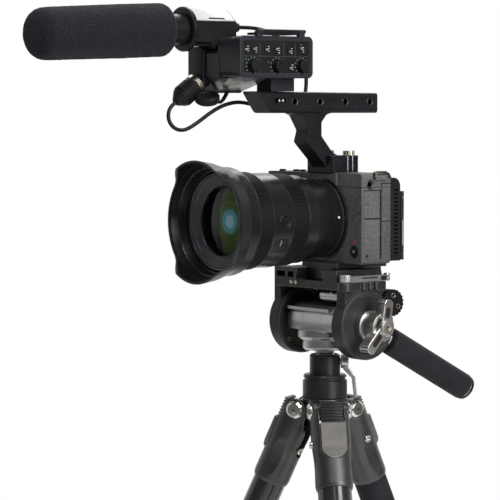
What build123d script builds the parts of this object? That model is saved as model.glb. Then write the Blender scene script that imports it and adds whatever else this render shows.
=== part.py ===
import os
from math import cos, radians, sin, tan

from build123d import *

# A small cinema camera with a wide zoom lens, top handle, audio unit and microphone,
# on a compact fluid head and a three-legged tripod. Millimetres, +Z up, lens along -Y,
# +X is the camera's own left side. Parts are laid out about the pan axis, floor at Z = 0.

# Fits: a running fit on the radius, and the air between separate bodies
running = 0.05
gap = 0.3

# Driving dimensions: tripod legs
leg_spread = 24.5
leg_length = 543.0
foot_radius = 13.0
hinge_radius = 22.0
hinge_height = leg_length * cos(radians(leg_spread)) + foot_radius
eye_radius = 9.6
lug_half = 10.9
fork_radius = 17.4
bolt_face = 16.0
flat_curve = 95.0
flat_depth = 1.2
flat_height = -49.0
bolt_radius = 3.0
shoulder_radius = 16.3
shoulder_end = 70.5
tube_radius = 14.6
tube_bore = 13.2
tube_top = 50.0
tube_end = 432.0
lower_radius = 12.6
lower_top = 96.0
lock_radius = 18.0
lock_length = 38.0
tab_half = 10.9
tab_y = (11.7, 16.4)
tab_low = -35.5
tab_neck = -14.6
tab_top = 4.6
leg_names = {"left": -120.0, "right": 120.0, "rear": 0.0}

# Driving dimensions: hub and levelling ball
spider_half_height = 10.0
spider_top = hinge_height + spider_half_height
collar_radius = 19.5
collar_top = spider_top + 21.0
cup_radius = 13.4
cup_top = collar_top + 17.7
ball_radius = 10.5
ball_height = cup_top - 6.7
base_bottom = cup_top + 3.9
base_top = base_bottom + 8.8
base_radius = 19.5
lever_turn = 52.2
lever_screw = 3.0
pan_pin = 6.0

# Driving dimensions: fluid head
tilt_y = 5.0
tilt_z = base_top + 15.1
drum_radius = 21.0
drum_right = -34.5
drum_left = 29.5
ring_radius = 24.0
trunnion_radius = 8.0
disc_radius = 29.8
upright_half = 23.0
ear_thick = 5.0
dish_depth = 1.6
knob_stem = 4.0
dial_stem = 3.0
knob_wings = ((80.0, 24.5), (228.0, 28.0))
right_plate = (-48.5, -35.0)
left_plate = (37.5, 52.0)
platform_x = (-48.5, 49.0)
platform_y = (-18.0, 28.0)
platform_z = (tilt_z + 30.5, tilt_z + 37.5)
jaw_top = platform_z[1] + 10.0
dovetail_low = 18.9
dovetail_high = 16.7
clamp_pin = 2.2
balance_place = (tilt_y + 28.7, tilt_z + 18.5)
balance_radius = 11.7
clamp_pivot = (47.0, platform_y[0] + 1.5)
pan_arm_x = 33.4
arm_half = 3.4
bar_radius = 5.0
grip_angle = -27.9
grip_rise = 4.9
grip_radius = 11.8
grip_start = 44.0
grip_end = 144.0

# Driving dimensions: camera body
plate_top = jaw_top + 5.7
body_bottom = plate_top
body_height = 78.0
body_top = body_bottom + body_height
body_left = 54.5
body_right = -75.2
body_front = -4.5
shell_rear = 28.0
vent_rear = 39.6
vent_count = 17
wall = 3.0
lens_axis = body_bottom + 38.0
mount_face = -7.5
mount_bore = 23.0
door_y = (-1.5, 17.0)
door_thick = 2.6
port_z = (body_bottom + 39.3, body_bottom + 63.0)
media_z = (body_bottom + 4.3, body_bottom + 38.6)
lcd_z = (body_bottom + 2.5, body_bottom + 62.0)
lcd_y = (vent_rear + gap, vent_rear + 8.2)
lcd_hinge = (50.5, vent_rear + 4.2)
lcd_pin = 1.0
knuckle = 5.0
side_hole = (5.0, body_top - 9.6)
rec_place = (45.2, body_bottom + 10.7)
rec_radius = 3.5
screw_y = 14.0
screw_radius = 3.175

# Driving dimensions: lens stations along Y and radii
rear_barrel = (mount_face, -35.0, 34.0, 36.2)
iris_ring = (-35.3, -48.0, 38.0)
zoom_ring = (-48.5, -67.0, 39.8)
mid_band = (-67.3, -88.3, 40.6)
focus_ring = (-88.7, -104.0, 41.8)
front_band = (-104.4, -117.0, 43.0)
glass_radius = 29.0
glass_seat = -104.0
inner_radius = 33.0
hold_y = -76.5
hold_radius = 4.8
hood_side = -133.0
hood_tip = -142.0

# Driving dimensions: top handle
handle_half = 11.4
handle_top = body_top + 70.3
handle_bottom = handle_top - 18.6
handle_nose = (-83.0, -70.0)
handle_rear = 50.0
handle_leg_half = 9.3
handle_foot_half = 18.0
handle_foot_y = (-7.0, 24.0)
handle_foot_top = body_top + 14.8
handle_holes = (-42.4, -14.2, 14.0, 42.2)
hole_radius = 2.6
handle_hole_z = handle_top - 8.8
handle_screw = (14.0, 15.0, 2.0)
switch_y = -59.0

# Driving dimensions: audio unit, microphone and cable
audio_side = 26.0
panel_x = audio_side - 1.2
audio_step = -5.0
audio_frame = 9.0
audio_inset = 0.8
audio_corner = 5.0
audio_pod = (-44.0, -23.0)
audio_floor = handle_top + 11.0
audio_low_top = handle_top + 36.0
audio_top = handle_top + 46.5
audio_front = -114.0
audio_rear = -35.0
knob_y = (-99.4, -73.2, -46.8)
knob_z = handle_top + 21.2
knob_radius = 5.2
knob_shaft = 2.0
cover_hinge = (27.6, audio_top + 4.0)
cover_y = (-90.5, -51.8)
cover_pin = 0.8
mic_x = -22.0
mic_z = handle_top + 53.0
mic_pitch = 2.6
mic_pivot = -120.0
mic_barrel_radius = 13.0
capsule_radius = 10.5
mic_end = -80.0
foam_radius = 22.8
foam_nose = 13.0
foam_y = (-290.0, -157.5)
cable_radius = 1.7
plug_tilt = 35.0
plug_length = 32.0
plug_radius = 7.6
plug_root = (-32.0, -112.0, handle_top + 9.0)

# The pan axis stands this far behind the middle of the whole outline
pan_y = 15.0


def block(x, y, z):
    return Pos((x[0] + x[1]) / 2, (y[0] + y[1]) / 2, (z[0] + z[1]) / 2) * Box(
        abs(x[1] - x[0]), abs(y[1] - y[0]), abs(z[1] - z[0])
    )


def rod(radius, start, end):
    reach = Vector(*end) - Vector(*start)
    return Solid.make_cylinder(radius, reach.length, Plane(start, z_dir=reach))


def post(radius, z0, z1, x=0.0, y=0.0):
    return rod(radius, (x, y, z0), (x, y, z1))


def cross_rod(radius, x0, x1, y=tilt_y, z=tilt_z):
    return rod(radius, (x0, y, z), (x1, y, z))


def lens_rod(radius, y0, y1):
    return rod(radius, (0, y0, lens_axis), (0, y1, lens_axis))


def turned(points):
    return revolve(make_face(Plane.XZ * Polyline(*points, close=True)), Axis.Z)


def lens_turned(points):
    # points are (radius, distance along Y); the lens looks along -Y
    outline = make_face(Plane.XY * Polyline(*points, close=True))
    return Pos(0, 0, lens_axis) * revolve(outline, Axis.Y)


def side_plate(points, x0, x1):
    # an outline in (Y, Z) given a thickness along X
    outline = make_face(Plane.YZ * Polyline(*points, close=True))
    return Pos(x0, 0, 0) * extrude(outline, x1 - x0, dir=(1, 0, 0))


def front_plate(points, y0, y1):
    # an outline in (X, Z) given a thickness along Y
    outline = make_face(Plane.XZ * Polyline(*points, close=True))
    return Pos(0, y0, 0) * extrude(outline, y1 - y0, dir=(0, 1, 0))


def ribs(count, radius, depth, width, start, end, axis_place):
    cutters = []
    for step in range(count):
        slot = Pos(radius, 0, (start + end) / 2) * Box(2 * depth, width, abs(end - start))
        cutters.append(axis_place * Rot(0, 0, 360.0 * step / count) * slot)
    return cutters


def leg_place(turn):
    return Rot(0, 0, turn) * Pos(0, hinge_radius, hinge_height) * Rot(leg_spread, 0, 0)


def leg_shoulder():
    # a fork round the hub's lug, rounded about the hinge bolt, running down into the tube's socket
    casting = turned(
        [(0, 12), (fork_radius, 12), (fork_radius, -26), (shoulder_radius, -46), (shoulder_radius, 3 - shoulder_end),
         (15.6, -shoulder_end), (0, -shoulder_end)]
    )
    profile = side_plate([(-eye_radius, 0), (eye_radius, 0), (20, -14), (20, -75), (-20, -75), (-20, -26),
                         (-eye_radius - 2, -12)], -20, 20)
    casting &= profile + rod(eye_radius, (-20, 0, 0), (20, 0, 0))
    casting -= block((-lug_half - gap, lug_half + gap), (-20, tab_y[0]), (-15.0, 20.0))
    casting -= block((-8, 8), (-20, -6.5), (-34, -10))
    casting -= rod(8, (0, -20, -34), (0, -6.5, -34))
    casting -= rod(bolt_radius + running, (-20, 0, 0), (20, 0, 0))
    casting -= post(tube_radius + running, -shoulder_end - 1, -tube_top)
    for side in (-1, 1):
        casting -= rod(8.4, (side * bolt_face, 0, 0), (side * 25, 0, 0))
        flat = flat_curve + shoulder_radius - flat_depth
        casting -= rod(flat_curve, (side * flat, -20, flat_height), (side * flat, 20, flat_height))
    seat = tab_half + gap
    casting -= block((-seat, seat), (tab_y[0] - gap, 20.0), (tab_low, 20.0))
    return casting - rod(seat, (0, tab_y[0] - gap, tab_low), (0, 20.0, tab_low))


def angle_tab():
    # the pull-out stop that sets the leg's spread, with a ribbed neck above its plate
    neck_half, neck_face = tab_half - 1.2, tab_y[1] - 1.8
    tab = block((-tab_half, tab_half), tab_y, (tab_low, tab_neck))
    tab += rod(tab_half, (0, tab_y[0], tab_low), (0, tab_y[1], tab_low))
    tab += block((-neck_half, neck_half), (tab_y[0], neck_face), (tab_neck, tab_top))
    for step in range(6):
        z = tab_neck + 1.8 + 2.9 * step
        tab -= block((-tab_half, tab_half), (neck_face - 1.0, neck_face + 1.0), (z, z + 1.3))
    return tab


def leg_tube():
    return post(tube_radius, -tube_end, -tube_top) - post(
        tube_bore, -tube_end - 1, -tube_top + 1
    )


def twist_lock():
    low = -tube_end - lock_length
    throat = tube_bore + 0.1
    sleeve = turned(
        [(throat, low), (16.6, low), (lock_radius, low + 3), (lock_radius, -tube_end + 3),
         (16.8, -tube_end + 6), (tube_radius + running, -tube_end + 6),
         (tube_radius + running, -tube_end - gap), (throat, -tube_end - gap)]
    )
    return sleeve - ribs(18, lock_radius, 0.8, 2.2, low + 5, -tube_end, Pos(0, 0, 0))


def lower_leg():
    # the sliding section with its rubber foot
    section = post(lower_radius, -leg_length + 34, -lower_top)
    section += post(tube_bore - running, -lower_top - 30, -lower_top)
    section -= post(lower_radius - 1.4, -leg_length + 40, -lower_top + 1)
    foot = turned(
        [(0, -leg_length), (foot_radius, -leg_length), (foot_radius, -leg_length + 24),
         (15.0, -leg_length + 27), (15.0, -leg_length + 32), (foot_radius, -leg_length + 36),
         (0, -leg_length + 36)]
    )
    return section + foot + Pos(0, 0, -leg_length) * Sphere(foot_radius)


def spider():
    # hub with three lugs, each held in its leg's fork
    hub = post(15.0, hinge_height - 8, spider_top) + post(collar_radius, spider_top - 1.6, spider_top)
    lug = block((-lug_half, lug_half), (8.0, hinge_radius), (-8.0, 8.0))
    lug += rod(8.0, (-lug_half, hinge_radius, 0), (lug_half, hinge_radius, 0))
    lug -= rod(bolt_radius, (-30, hinge_radius, 0), (30, hinge_radius, 0))
    for turn in leg_names.values():
        hub += Rot(0, 0, turn) * Pos(0, 0, hinge_height) * lug
    return hub


def hinge_bolts():
    bolts = []
    for turn in leg_names.values():
        bolt = rod(bolt_radius, (-bolt_face, 0, 0), (bolt_face, 0, 0))
        for side in (-1, 1):
            head = turned([(0, 0), (7.6, 0), (7.6, 1.4), (5.6, 3.2), (0, 3.8)])
            bolt += Pos(side * bolt_face, 0, 0) * Rot(0, 90 * side, 0) * head
        bolts.append(Rot(0, 0, turn) * Pos(0, hinge_radius, hinge_height) * bolt)
    return Compound(bolts)


def column_collar():
    return turned(
        [(0, spider_top), (collar_radius - 1, spider_top), (collar_radius, spider_top + 1),
         (collar_radius, collar_top - 5.4), (collar_radius - 1.6, collar_top - 4.2),
         (collar_radius - 1.6, collar_top - 3.2), (collar_radius - 0.4, collar_top - 2.2),
         (collar_radius - 1.4, collar_top), (0, collar_top)]
    )


def ball_cup():
    cup = turned(
        [(0, collar_top), (cup_radius, collar_top), (cup_radius, cup_top - 1.4),
         (cup_radius - 1.4, cup_top), (0, cup_top)]
    )
    cup -= Pos(0, 0, ball_height) * Sphere(ball_radius + 0.08)
    cup -= turned([(0, cup_top - 4), (10.1, cup_top - 4), (11.2, cup_top + 1), (0, cup_top + 1)])
    bore = rod(lever_screw + running, (9.0, 0, ball_height), (20.0, 0, ball_height))
    return cup - Rot(0, 0, lever_turn) * bore


def levelling_ball():
    stem = turned(
        [(0, ball_height), (6.5, ball_height), (6.5, cup_top + 1.3), (8.5, cup_top + 1.3),
         (8.5, base_bottom), (base_radius - 2, base_bottom), (base_radius, base_bottom + 2),
         (base_radius, base_top), (0, base_top)]
    )
    stem += Pos(0, 0, ball_height) * Sphere(ball_radius)
    return stem - post(pan_pin, base_top - 7, base_top + 1)


def ball_lock_lever():
    # boss on a radial screw, and an arm that bends out over the collar and hangs down
    arm = [(15.0, -5.0), (20.5, -5.0), (26.5, -13.0), (28.6, -31.5), (25.4, -31.5), (23.4, -14.5),
           (17.0, -8.0)]
    lever = front_plate(arm, -3.2, 3.2)
    lever += rod(6.0, (cup_radius + 0.6, 0, 0), (20.6, 0, 0))
    lever += rod(lever_screw, (11.6, 0, 0), (cup_radius + 1, 0, 0))
    lever -= rod(3.4, (19.6, 0, 0), (21.0, 0, 0))
    return Rot(0, 0, lever_turn) * Pos(0, 0, ball_height) * lever


def fluid_housing():
    # D-shaped drum across the head, seated on the turning ring of the pan base
    floor = base_top + 8.6
    drum = cross_rod(drum_radius, drum_right, drum_left)
    drum -= block((-60, 60), (-60, 60), (tilt_z - 40, floor))
    drum = fillet(drum.edges().filter_by(GeomType.CIRCLE).sort_by(Axis.X)[0], 3.0)
    ridge_y = (tilt_y - drum_radius - 1.2, tilt_y - 12)
    ridge = block((drum_right + 3, drum_left - 4), ridge_y, (tilt_z + 10.6, tilt_z + 13.4))
    ring = turned(
        [(0, base_top + gap), (ring_radius - 3, base_top + gap), (ring_radius, base_top + 3),
         (ring_radius, floor), (0, floor)]
    )
    pivot = post(pan_pin - running, base_top - 6.5, base_top + 1)
    axle = cross_rod(trunnion_radius, right_plate[0] + 5, left_plate[1] - 8)
    return drum + ridge + ring + pivot + axle


def right_side_plate():
    # upright with a round end on the tilt axle, and a recessed inner face
    x0, x1 = right_plate
    upright = block((x0, x0 + 7.5), (tilt_y - upright_half, tilt_y + upright_half), (tilt_z, platform_z[0]))
    disc = cross_rod(disc_radius, x0, x1)
    disc = chamfer(disc.edges().filter_by(GeomType.CIRCLE), 1.2)
    plate = upright + disc
    plate -= cross_rod(disc_radius - 3.5, x1 - 2.4, x1 + 1)
    return plate - cross_rod(trunnion_radius + running, x0 + 4.8, x1 + 1)


def left_side_plate():
    # upright with a deep drum, a dished outer face for the drag knob and a rear ear
    x0, x1 = left_plate
    upright = block((x0, x0 + 11.5), (tilt_y - upright_half, tilt_y + upright_half), (tilt_z, platform_z[0]))
    disc = chamfer(cross_rod(disc_radius, x0, x1).edges().filter_by(GeomType.CIRCLE), 1.2)
    ear_y, ear_z = balance_place
    ear = rod(9.0, (x0, ear_y, ear_z), (x0 + ear_thick, ear_y, ear_z))
    ear += block((x0, x0 + ear_thick), (tilt_y + 20, ear_y), (ear_z - 7, ear_z + 7))
    plate = upright + disc
    plate -= rod(balance_radius + 0.8, (x0 + ear_thick, ear_y, ear_z), (x1 + 1, ear_y, ear_z))
    plate += ear
    plate -= cross_rod(disc_radius - 4, x1 - dish_depth, x1 + 1)
    plate -= cross_rod(trunnion_radius + running, x0 - 1, x1 - 7.8)
    plate -= cross_rod(knob_stem + running, x1 - 6, x1 + 1)
    return plate - rod(dial_stem + running, (x0 - 1, ear_y, ear_z), (x0 + 9, ear_y, ear_z))


def balance_dial():
    # knurled counterbalance dial with three shallow finger holes
    x0 = left_plate[0] + ear_thick + gap
    y, z = balance_place
    dial = rod(balance_radius, (x0, y, z), (x0 + 9.5, y, z))
    dial -= ribs(20, balance_radius, 0.7, 1.8, -1, 11, Pos(x0, y, z) * Rot(0, 90, 0))
    for step in range(3):
        around = radians(90 + 120 * step)
        place = (y + 6.5 * cos(around), z + 6.5 * sin(around))
        dial -= rod(1.6, (x0 + 8, *place), (x0 + 10, *place))
    return dial + rod(dial_stem, (x0 - 4, y, z), (x0 + 1, y, z))


def tilt_knob():
    # stepped hub with two unequal wings and a centre boss
    x0 = left_plate[1] - dish_depth + gap
    knob = cross_rod(13.4, x0, x0 + 6) + cross_rod(11.8, x0 + 6, x0 + 14)
    knob += cross_rod(knob_stem, x0 - 4, x0 + 1) + cross_rod(6.4, x0 + 14, x0 + 28)
    for angle, reach in knob_wings:
        wing = extrude(SlotCenterToCenter(reach - 5, 9.5), 11, dir=(0, 0, 1))
        blade = Plane.YZ * (Rot(0, 0, angle) * Pos((reach - 5) / 2, 0, 0) * wing)
        knob += Pos(x0 + 14, tilt_y, tilt_z) * blade
    rim = cross_rod(11.8, x0 + 13, x0 + 22) - cross_rod(9.0, x0 + 15, x0 + 23)
    return knob + rim - cross_rod(2.6, x0 + 26, x0 + 29)


def grip_point(reach):
    along = radians(grip_angle)
    return (pan_arm_x, tilt_y + reach * cos(along), tilt_z + grip_rise + reach * sin(along))


def pan_bar():
    # eye on the tilt axle, a flat arm, and the rod with its bright end cap
    flat = (pan_arm_x - arm_half, pan_arm_x + arm_half)
    eye = cross_rod(17.0, *flat)
    arm = rod(bar_radius, grip_point(14), grip_point(grip_start + 2)) & block(flat, (-300, 300), (0, 900))
    bar = rod(bar_radius, grip_point(grip_start), grip_point(grip_end + 4))
    cap = rod(grip_radius - 0.8, grip_point(grip_end), grip_point(grip_end + 4))
    return eye + arm + bar + cap - cross_rod(trunnion_radius + running, *flat)


def pan_grip():
    sleeve = rod(grip_radius, grip_point(grip_start), grip_point(grip_end - gap))
    sleeve = fillet(sleeve.edges().sort_by(Axis.Y)[0], 2.0)
    return sleeve - rod(bar_radius, grip_point(grip_start - 1), grip_point(grip_end + 1))


def platform():
    # channel that takes the camera plate: fixed jaw with two windows, keeper rail opposite
    z0, z1 = platform_z
    deck = block(platform_x, platform_y, platform_z)
    jaw = side_jaw(platform_x[0], -1)
    for x in ((-45.5, -33.5), (-30.5, -21.5)):
        jaw -= block(x, (platform_y[0] - 1, platform_y[0] + 9), (z1 + 1.6, jaw_top - 3.2))
    deck += jaw + side_jaw(37.0, 1)
    for y in (2.0, 9.0, 16.0):
        deck += post(2.6, z0 + 0.5, z1, platform_x[1], y)
    deck += post(6.5, z0, z1, *clamp_pivot)
    return deck - post(clamp_pin + running, z0 - 1, z1 + 1, *clamp_pivot)


def side_jaw(x_out, side):
    # a rail undercut to hold the plate's dovetail
    low = side * (dovetail_low + 0.5)
    high = side * (dovetail_high + 0.5)
    base = platform_z[1]
    outline = [(x_out, base), (low, base), (high, jaw_top - 1), (high, jaw_top), (x_out, jaw_top)]
    return front_plate(outline, *platform_y)


def clamp_lever():
    # flat bright lever along the platform's left side, turning on a knurled front pivot
    x, y = clamp_pivot
    z0 = platform_z[1] + gap
    nut = post(4.6, z0, z0 + 6.5, x, y)
    nut -= ribs(12, 4.6, 0.5, 1.0, z0 - 1, z0 + 8, Pos(x, y, 0))
    bar = block((x - 2.4, x + 3.0), (y + 3.4, platform_y[1] + 1.5), (z0, z0 + 5.4))
    bar -= block((x - 3, x - 0.6), (y + 16, y + 38), (z0 + 3.6, z0 + 6))
    tip = post(2.8, z0, z0 + 6.6, x + 0.3, platform_y[1] + 2.4)
    return nut + bar + tip + post(clamp_pin, platform_z[0] + 1, z0 + 1, x, y)


def quick_plate():
    # sliding plate with a dovetail foot and a counterbore for the camera screw
    foot = platform_z[1] + gap
    half = [(0, foot), (dovetail_low, foot), (dovetail_high, jaw_top - 0.9), (dovetail_high, jaw_top + 0.5),
            (24.0, jaw_top + 0.9), (24.0, plate_top), (0, plate_top)]
    plate = front_plate(half, -6.4, 50.0)
    plate += mirror(plate, Plane.YZ)
    plate -= post(screw_radius + 0.1, foot - 1, plate_top + 1, 0, screw_y)
    return plate - post(8.0, foot - 1, plate_top - 8, 0, screw_y)


def camera_screw():
    # slotted screw up through the plate into the body's tripod thread
    head_top = plate_top - 8
    screw = post(7.6, head_top - 5, head_top, 0, screw_y)
    screw += post(screw_radius, head_top - 1, body_bottom + 5, 0, screw_y)
    return screw - block((-8, 8), (screw_y - 0.8, screw_y + 0.8), (head_top - 6, head_top - 3.4))


def front_shell():
    # main casing: rounded block with a mount boss and a hand grip, hollow behind the mount
    casing = block((body_right, body_left), (body_front, shell_rear), (body_bottom, body_top))
    casing = chamfer(casing.edges().filter_by(Axis.Y), 2.0)
    boss = lens_rod(36.0, body_front + 1, -6.0)
    boss &= block((-60, 60), (-20, 20), (body_bottom + 2, body_top - 1))
    boss += block((-22, 22), (-6.0, 0), (lens_axis + 20, body_top - 1))
    grip = Pos(-59, -10, body_bottom + 3) * extrude(SlotOverall(58.0, 30.0, rotation=90), 66)
    grip &= block((body_right, -42), (-36, 10), (body_bottom, body_top))
    casing += boss + grip
    hollow_y = (body_front + wall, shell_rear + 1)
    hollow_z = (body_bottom + wall, body_top - wall)
    casing -= block((body_right + 30, body_left - wall), hollow_y, hollow_z)
    casing -= lens_rod(mount_bore + 0.9, -20, 5)
    return casing - shell_cuts() + strap_lug()


def shell_cuts():
    # door pockets, accessory thread, side trim lines, button bore and screw holes
    side = body_left - 0.6
    cuts = [block((body_left - 4, body_left + 1), door_y, z) for z in (port_z, media_z)]
    cuts.append(rod(hole_radius, (body_left - 4, *side_hole), (body_left + 1, *side_hole)))
    cuts.append(block((side, body_left + 1), (18.2, 18.8), (body_bottom + 4, body_top - 8)))
    cuts.append(block((side, body_left + 1), (18.6, 27.2), (body_bottom + 36, body_bottom + 36.6)))
    x, z = rec_place
    cuts.append(rod(rec_radius + gap, (x, -20, z), (x, 5, z)))
    for place in handle_screw_places():
        cuts.append(post(handle_screw[2], body_top - 6, body_top + 1, *place))
    cuts.append(post(screw_radius, body_bottom - 1, body_bottom + 6, 0, screw_y))
    return cuts


def strap_lug():
    lug = block((body_left - 0.5, body_left + 3.2), (9.0, 22.0), (body_top - 5.6, body_top - 1.6))
    return lug - block((body_left + 0.4, body_left + 1.8), (11.5, 19.5), (body_top - 7, body_top))


def rear_shell():
    # cooling block behind the casing, with louvres on both flanks, an eyecup and screen knuckles
    x0, x1 = body_right + 4, body_left - 0.4
    cooler = block((x0, x1), (shell_rear, vent_rear), (body_bottom + 2, body_top - 4))
    back = cooler.faces().sort_by(Axis.Y)[-1]
    cooler = fillet(back.edges().sort_by(Axis.Z)[-1], 7.5)
    for step in range(vent_count):
        z = body_bottom + 8 + 3.4 * step
        for x in ((x1 - 4, x1 + 1), (x0 - 1, x0 + 4)):
            cooler -= block(x, (shell_rear + 4.4, vent_rear - 2.4), (z, z + 1.6))
    eyecup = block((-60, -36), (vent_rear - 1, vent_rear + 5), (body_top - 34, body_top - 12))
    eyecup -= block((-56, -40), (vent_rear + 2, vent_rear + 6), (body_top - 30, body_top - 16))
    cooler += eyecup
    hinge_x, hinge_y = lcd_hinge
    for z in (lcd_z[0], lcd_z[1] - knuckle):
        cooler += block((hinge_x - 1.2, hinge_x + 1.2), (vent_rear - 1, hinge_y), (z, z + knuckle))
        cooler += post(2.4, z, z + knuckle, *lcd_hinge)
    return cooler - post(lcd_pin + running, lcd_z[0] - 1, lcd_z[1] + 1, *lcd_hinge)


def lcd_panel():
    # swing-out screen with a hinge pin running in the cooler's knuckles
    z0, z1 = lcd_z
    hinge_x, hinge_y = lcd_hinge
    slab = block((-27, hinge_x - 3.2), lcd_y, (z0, z1))
    slab = fillet(slab.edges().filter_by(Axis.Y), 2.0)
    slab -= block((-23, hinge_x - 8), (lcd_y[0] - 1, lcd_y[0] + 0.6), (z0 + 5, z1 - 5))
    middle = (z0 + knuckle + gap, z1 - knuckle - gap)
    slab += post(2.4, *middle, *lcd_hinge)
    slab += block((hinge_x - 4, hinge_x), (hinge_y - 1.6, hinge_y + 1.6), middle)
    return slab + post(lcd_pin, z0 + 0.5, z1 - 0.5, *lcd_hinge)


def side_door(z):
    # flap with a full-round hinge edge at its rear and a finger dimple
    x0 = body_left - door_thick
    y0, y1 = door_y[0] + gap, door_y[1] - gap
    radius = door_thick / 2
    middle = (z[0] + z[1]) / 2
    flap = block((x0, body_left), (y0, y1 - radius), (z[0] + gap, z[1] - gap))
    flap += post(radius, z[0] + gap, z[1] - gap, body_left - radius, y1 - radius)
    return flap - rod(2.2, (body_left - 0.5, y0 + 2, middle), (body_left + 1, y0 + 2, middle))


def rec_button():
    # dished cap on a stem, kept in by a flange behind the wall
    x, z = rec_place
    inner = body_front + wall
    cap = rod(rec_radius, (x, body_front - 0.9, z), (x, body_front + 2.4, z))
    cap -= Pos(x, body_front - 6.6, z) * Sphere(6.2)
    cap += rod(2.0, (x, body_front, z), (x, inner + 1, z))
    return cap + rod(rec_radius + 1, (x, inner + 0.5, z), (x, inner + 1.5, z))


def lens_mount():
    return lens_turned(
        [(mount_bore, mount_face), (31.0, mount_face), (31.0, -6.0), (mount_bore + 0.9, -6.0),
         (mount_bore + 0.9, -2.0), (mount_bore, -2.0)]
    )


def sensor_board():
    # board with the sensor, carried on four posts from the cooler
    board = block((-33, 33), (12.0, 13.6), (lens_axis - 28, lens_axis + 28))
    board += block((-17, 17), (9.5, 12.0), (lens_axis - 12, lens_axis + 12))
    for x in (-28, 28):
        for z in (lens_axis - 23, lens_axis + 23):
            board += rod(2.5, (x, 13.6, z), (x, shell_rear, z))
    return board


def lens_barrel():
    # fixed tube from mount to front bezel; the three rings turn round it
    rear, rear_end, rear_radius, rear_flare = rear_barrel
    mid, mid_end, mid_radius = mid_band
    front, front_end, front_radius = front_band
    outer = [(20.0, rear + 5), (mount_bore - running, rear + 5), (mount_bore - running, rear)]
    outer += [(rear_radius - 1.5, rear), (rear_radius, rear - 1.5), (rear_flare, rear_end)]
    outer += [(inner_radius, rear_end)]
    outer += [(inner_radius, mid), (mid_radius, mid), (mid_radius, mid_end), (inner_radius, mid_end)]
    outer += [(inner_radius, front), (front_radius, front), (front_radius, front_end + 1)]
    outer += [(front_radius - 1, front_end), (39.0, front_end), (36.5, front_end + 2)]
    outer += [(glass_radius + 1.4, front_end + 5), (glass_radius, front_end + 5), (glass_radius, glass_seat)]
    outer += [(22.0, -80.0), (20.0, -78.0)]
    barrel = lens_turned(outer)
    return barrel - rod(hold_radius + gap, (mid_radius - 5, hold_y, lens_axis), (60, hold_y, lens_axis))


def hold_button():
    face = mid_band[2] + 0.6
    cap = rod(hold_radius, (face - 4.2, hold_y, lens_axis), (face, hold_y, lens_axis))
    return cap - rod(hold_radius - 1.1, (face - 0.4, hold_y, lens_axis), (face + 1, hold_y, lens_axis))


def grip_ring(y0, y1, radius, count=0):
    # turning ring, with a band of lengthwise ribs where a count is given
    bore = inner_radius + running
    ring = lens_turned(
        [(bore, y0), (radius - 0.8, y0), (radius, y0 - 0.8), (radius, y1 + 0.8), (radius - 0.8, y1),
         (bore, y1)]
    )
    if not count:
        return ring
    along = Pos(0, 0, lens_axis) * Rot(90, 0, 0)
    return ring - ribs(count, radius, 0.6, 1.5, -y0 + 2.4, -y1 - 2.4, along)


def optics():
    # front element with a domed face, and the rear group on the axis
    front = lens_rod(glass_radius, front_band[1] + 4.4, glass_seat)
    dome = Pos(0, -58.0, lens_axis) * Sphere(60.0)
    dome &= lens_rod(glass_radius - 1.6, -120, -110)
    return front + dome + lens_rod(19.0, glass_seat, -20.0)


def lens_hood():
    # flared shell; two long petals above and below, cut back at both sides
    bore = front_band[2] + running
    shell = [(bore, -106.0), (45.6, -106.0), (46.2, -108.0), (46.6, -117.0), (50.4, -130.0), (52.2, hood_tip),
             (50.4, hood_tip), (48.6, -130.0), (44.8, -118.0), (bore, -117.4)]
    notch = Polyline((hood_side, 33), (-155, 61), (-155, -61), (hood_side, -33), close=True)
    notch = make_face(Plane.YZ * notch)
    notch = fillet(notch.vertices().sort_by(Axis.Y)[-2:], 12)
    return lens_turned(shell) - Pos(-80, 0, lens_axis) * extrude(notch, 160, dir=(1, 0, 0))


def handle_frame():
    # grip bar with a raked nose, cranked leg and screw-down foot
    outline = [(handle_nose[0], handle_top), (handle_rear, handle_top - 1), (handle_rear, handle_bottom),
               (handle_nose[1], handle_bottom)]
    bar = side_plate(outline, -handle_half, handle_half)
    bar = fillet(bar.edges().filter_by(lambda edge: abs(edge.tangent_at(0.5).Y) > 0.9), 2.6)
    foot = block((-handle_foot_half, handle_foot_half), handle_foot_y, (body_top, handle_foot_top))
    foot = chamfer(foot.edges().filter_by(Axis.Z), 2.0)
    return bar + handle_leg() + foot - handle_cuts()


def handle_leg():
    # cranked leg whose faces sweep into the bar and the foot
    front = [(-41.0, handle_bottom + 1), (-33.0, handle_bottom - 2), (-25.0, handle_bottom - 15),
             (-28.0, handle_bottom - 25), (-9.0, handle_foot_top - 7), (-6.0, body_top + 3)]
    rear = [(8.0, handle_foot_top - 4), (8.0, handle_foot_top - 0.5), (0.6, handle_foot_top + 2.5),
            (-11.9, handle_bottom - 20), (-11.9, handle_bottom - 8), (-6.5, handle_bottom - 1.5),
            (2.0, handle_bottom + 1)]
    outline = make_face(Polyline(*front, *rear, close=True))
    bends = outline.vertices().filter_by(lambda bend: handle_foot_top + 2 < bend.Y < handle_bottom)
    leg = extrude(Plane.YZ * fillet(bends, 2.6), 2 * handle_leg_half, dir=(1, 0, 0))
    return Pos(-handle_leg_half, 0, 0) * leg


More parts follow.
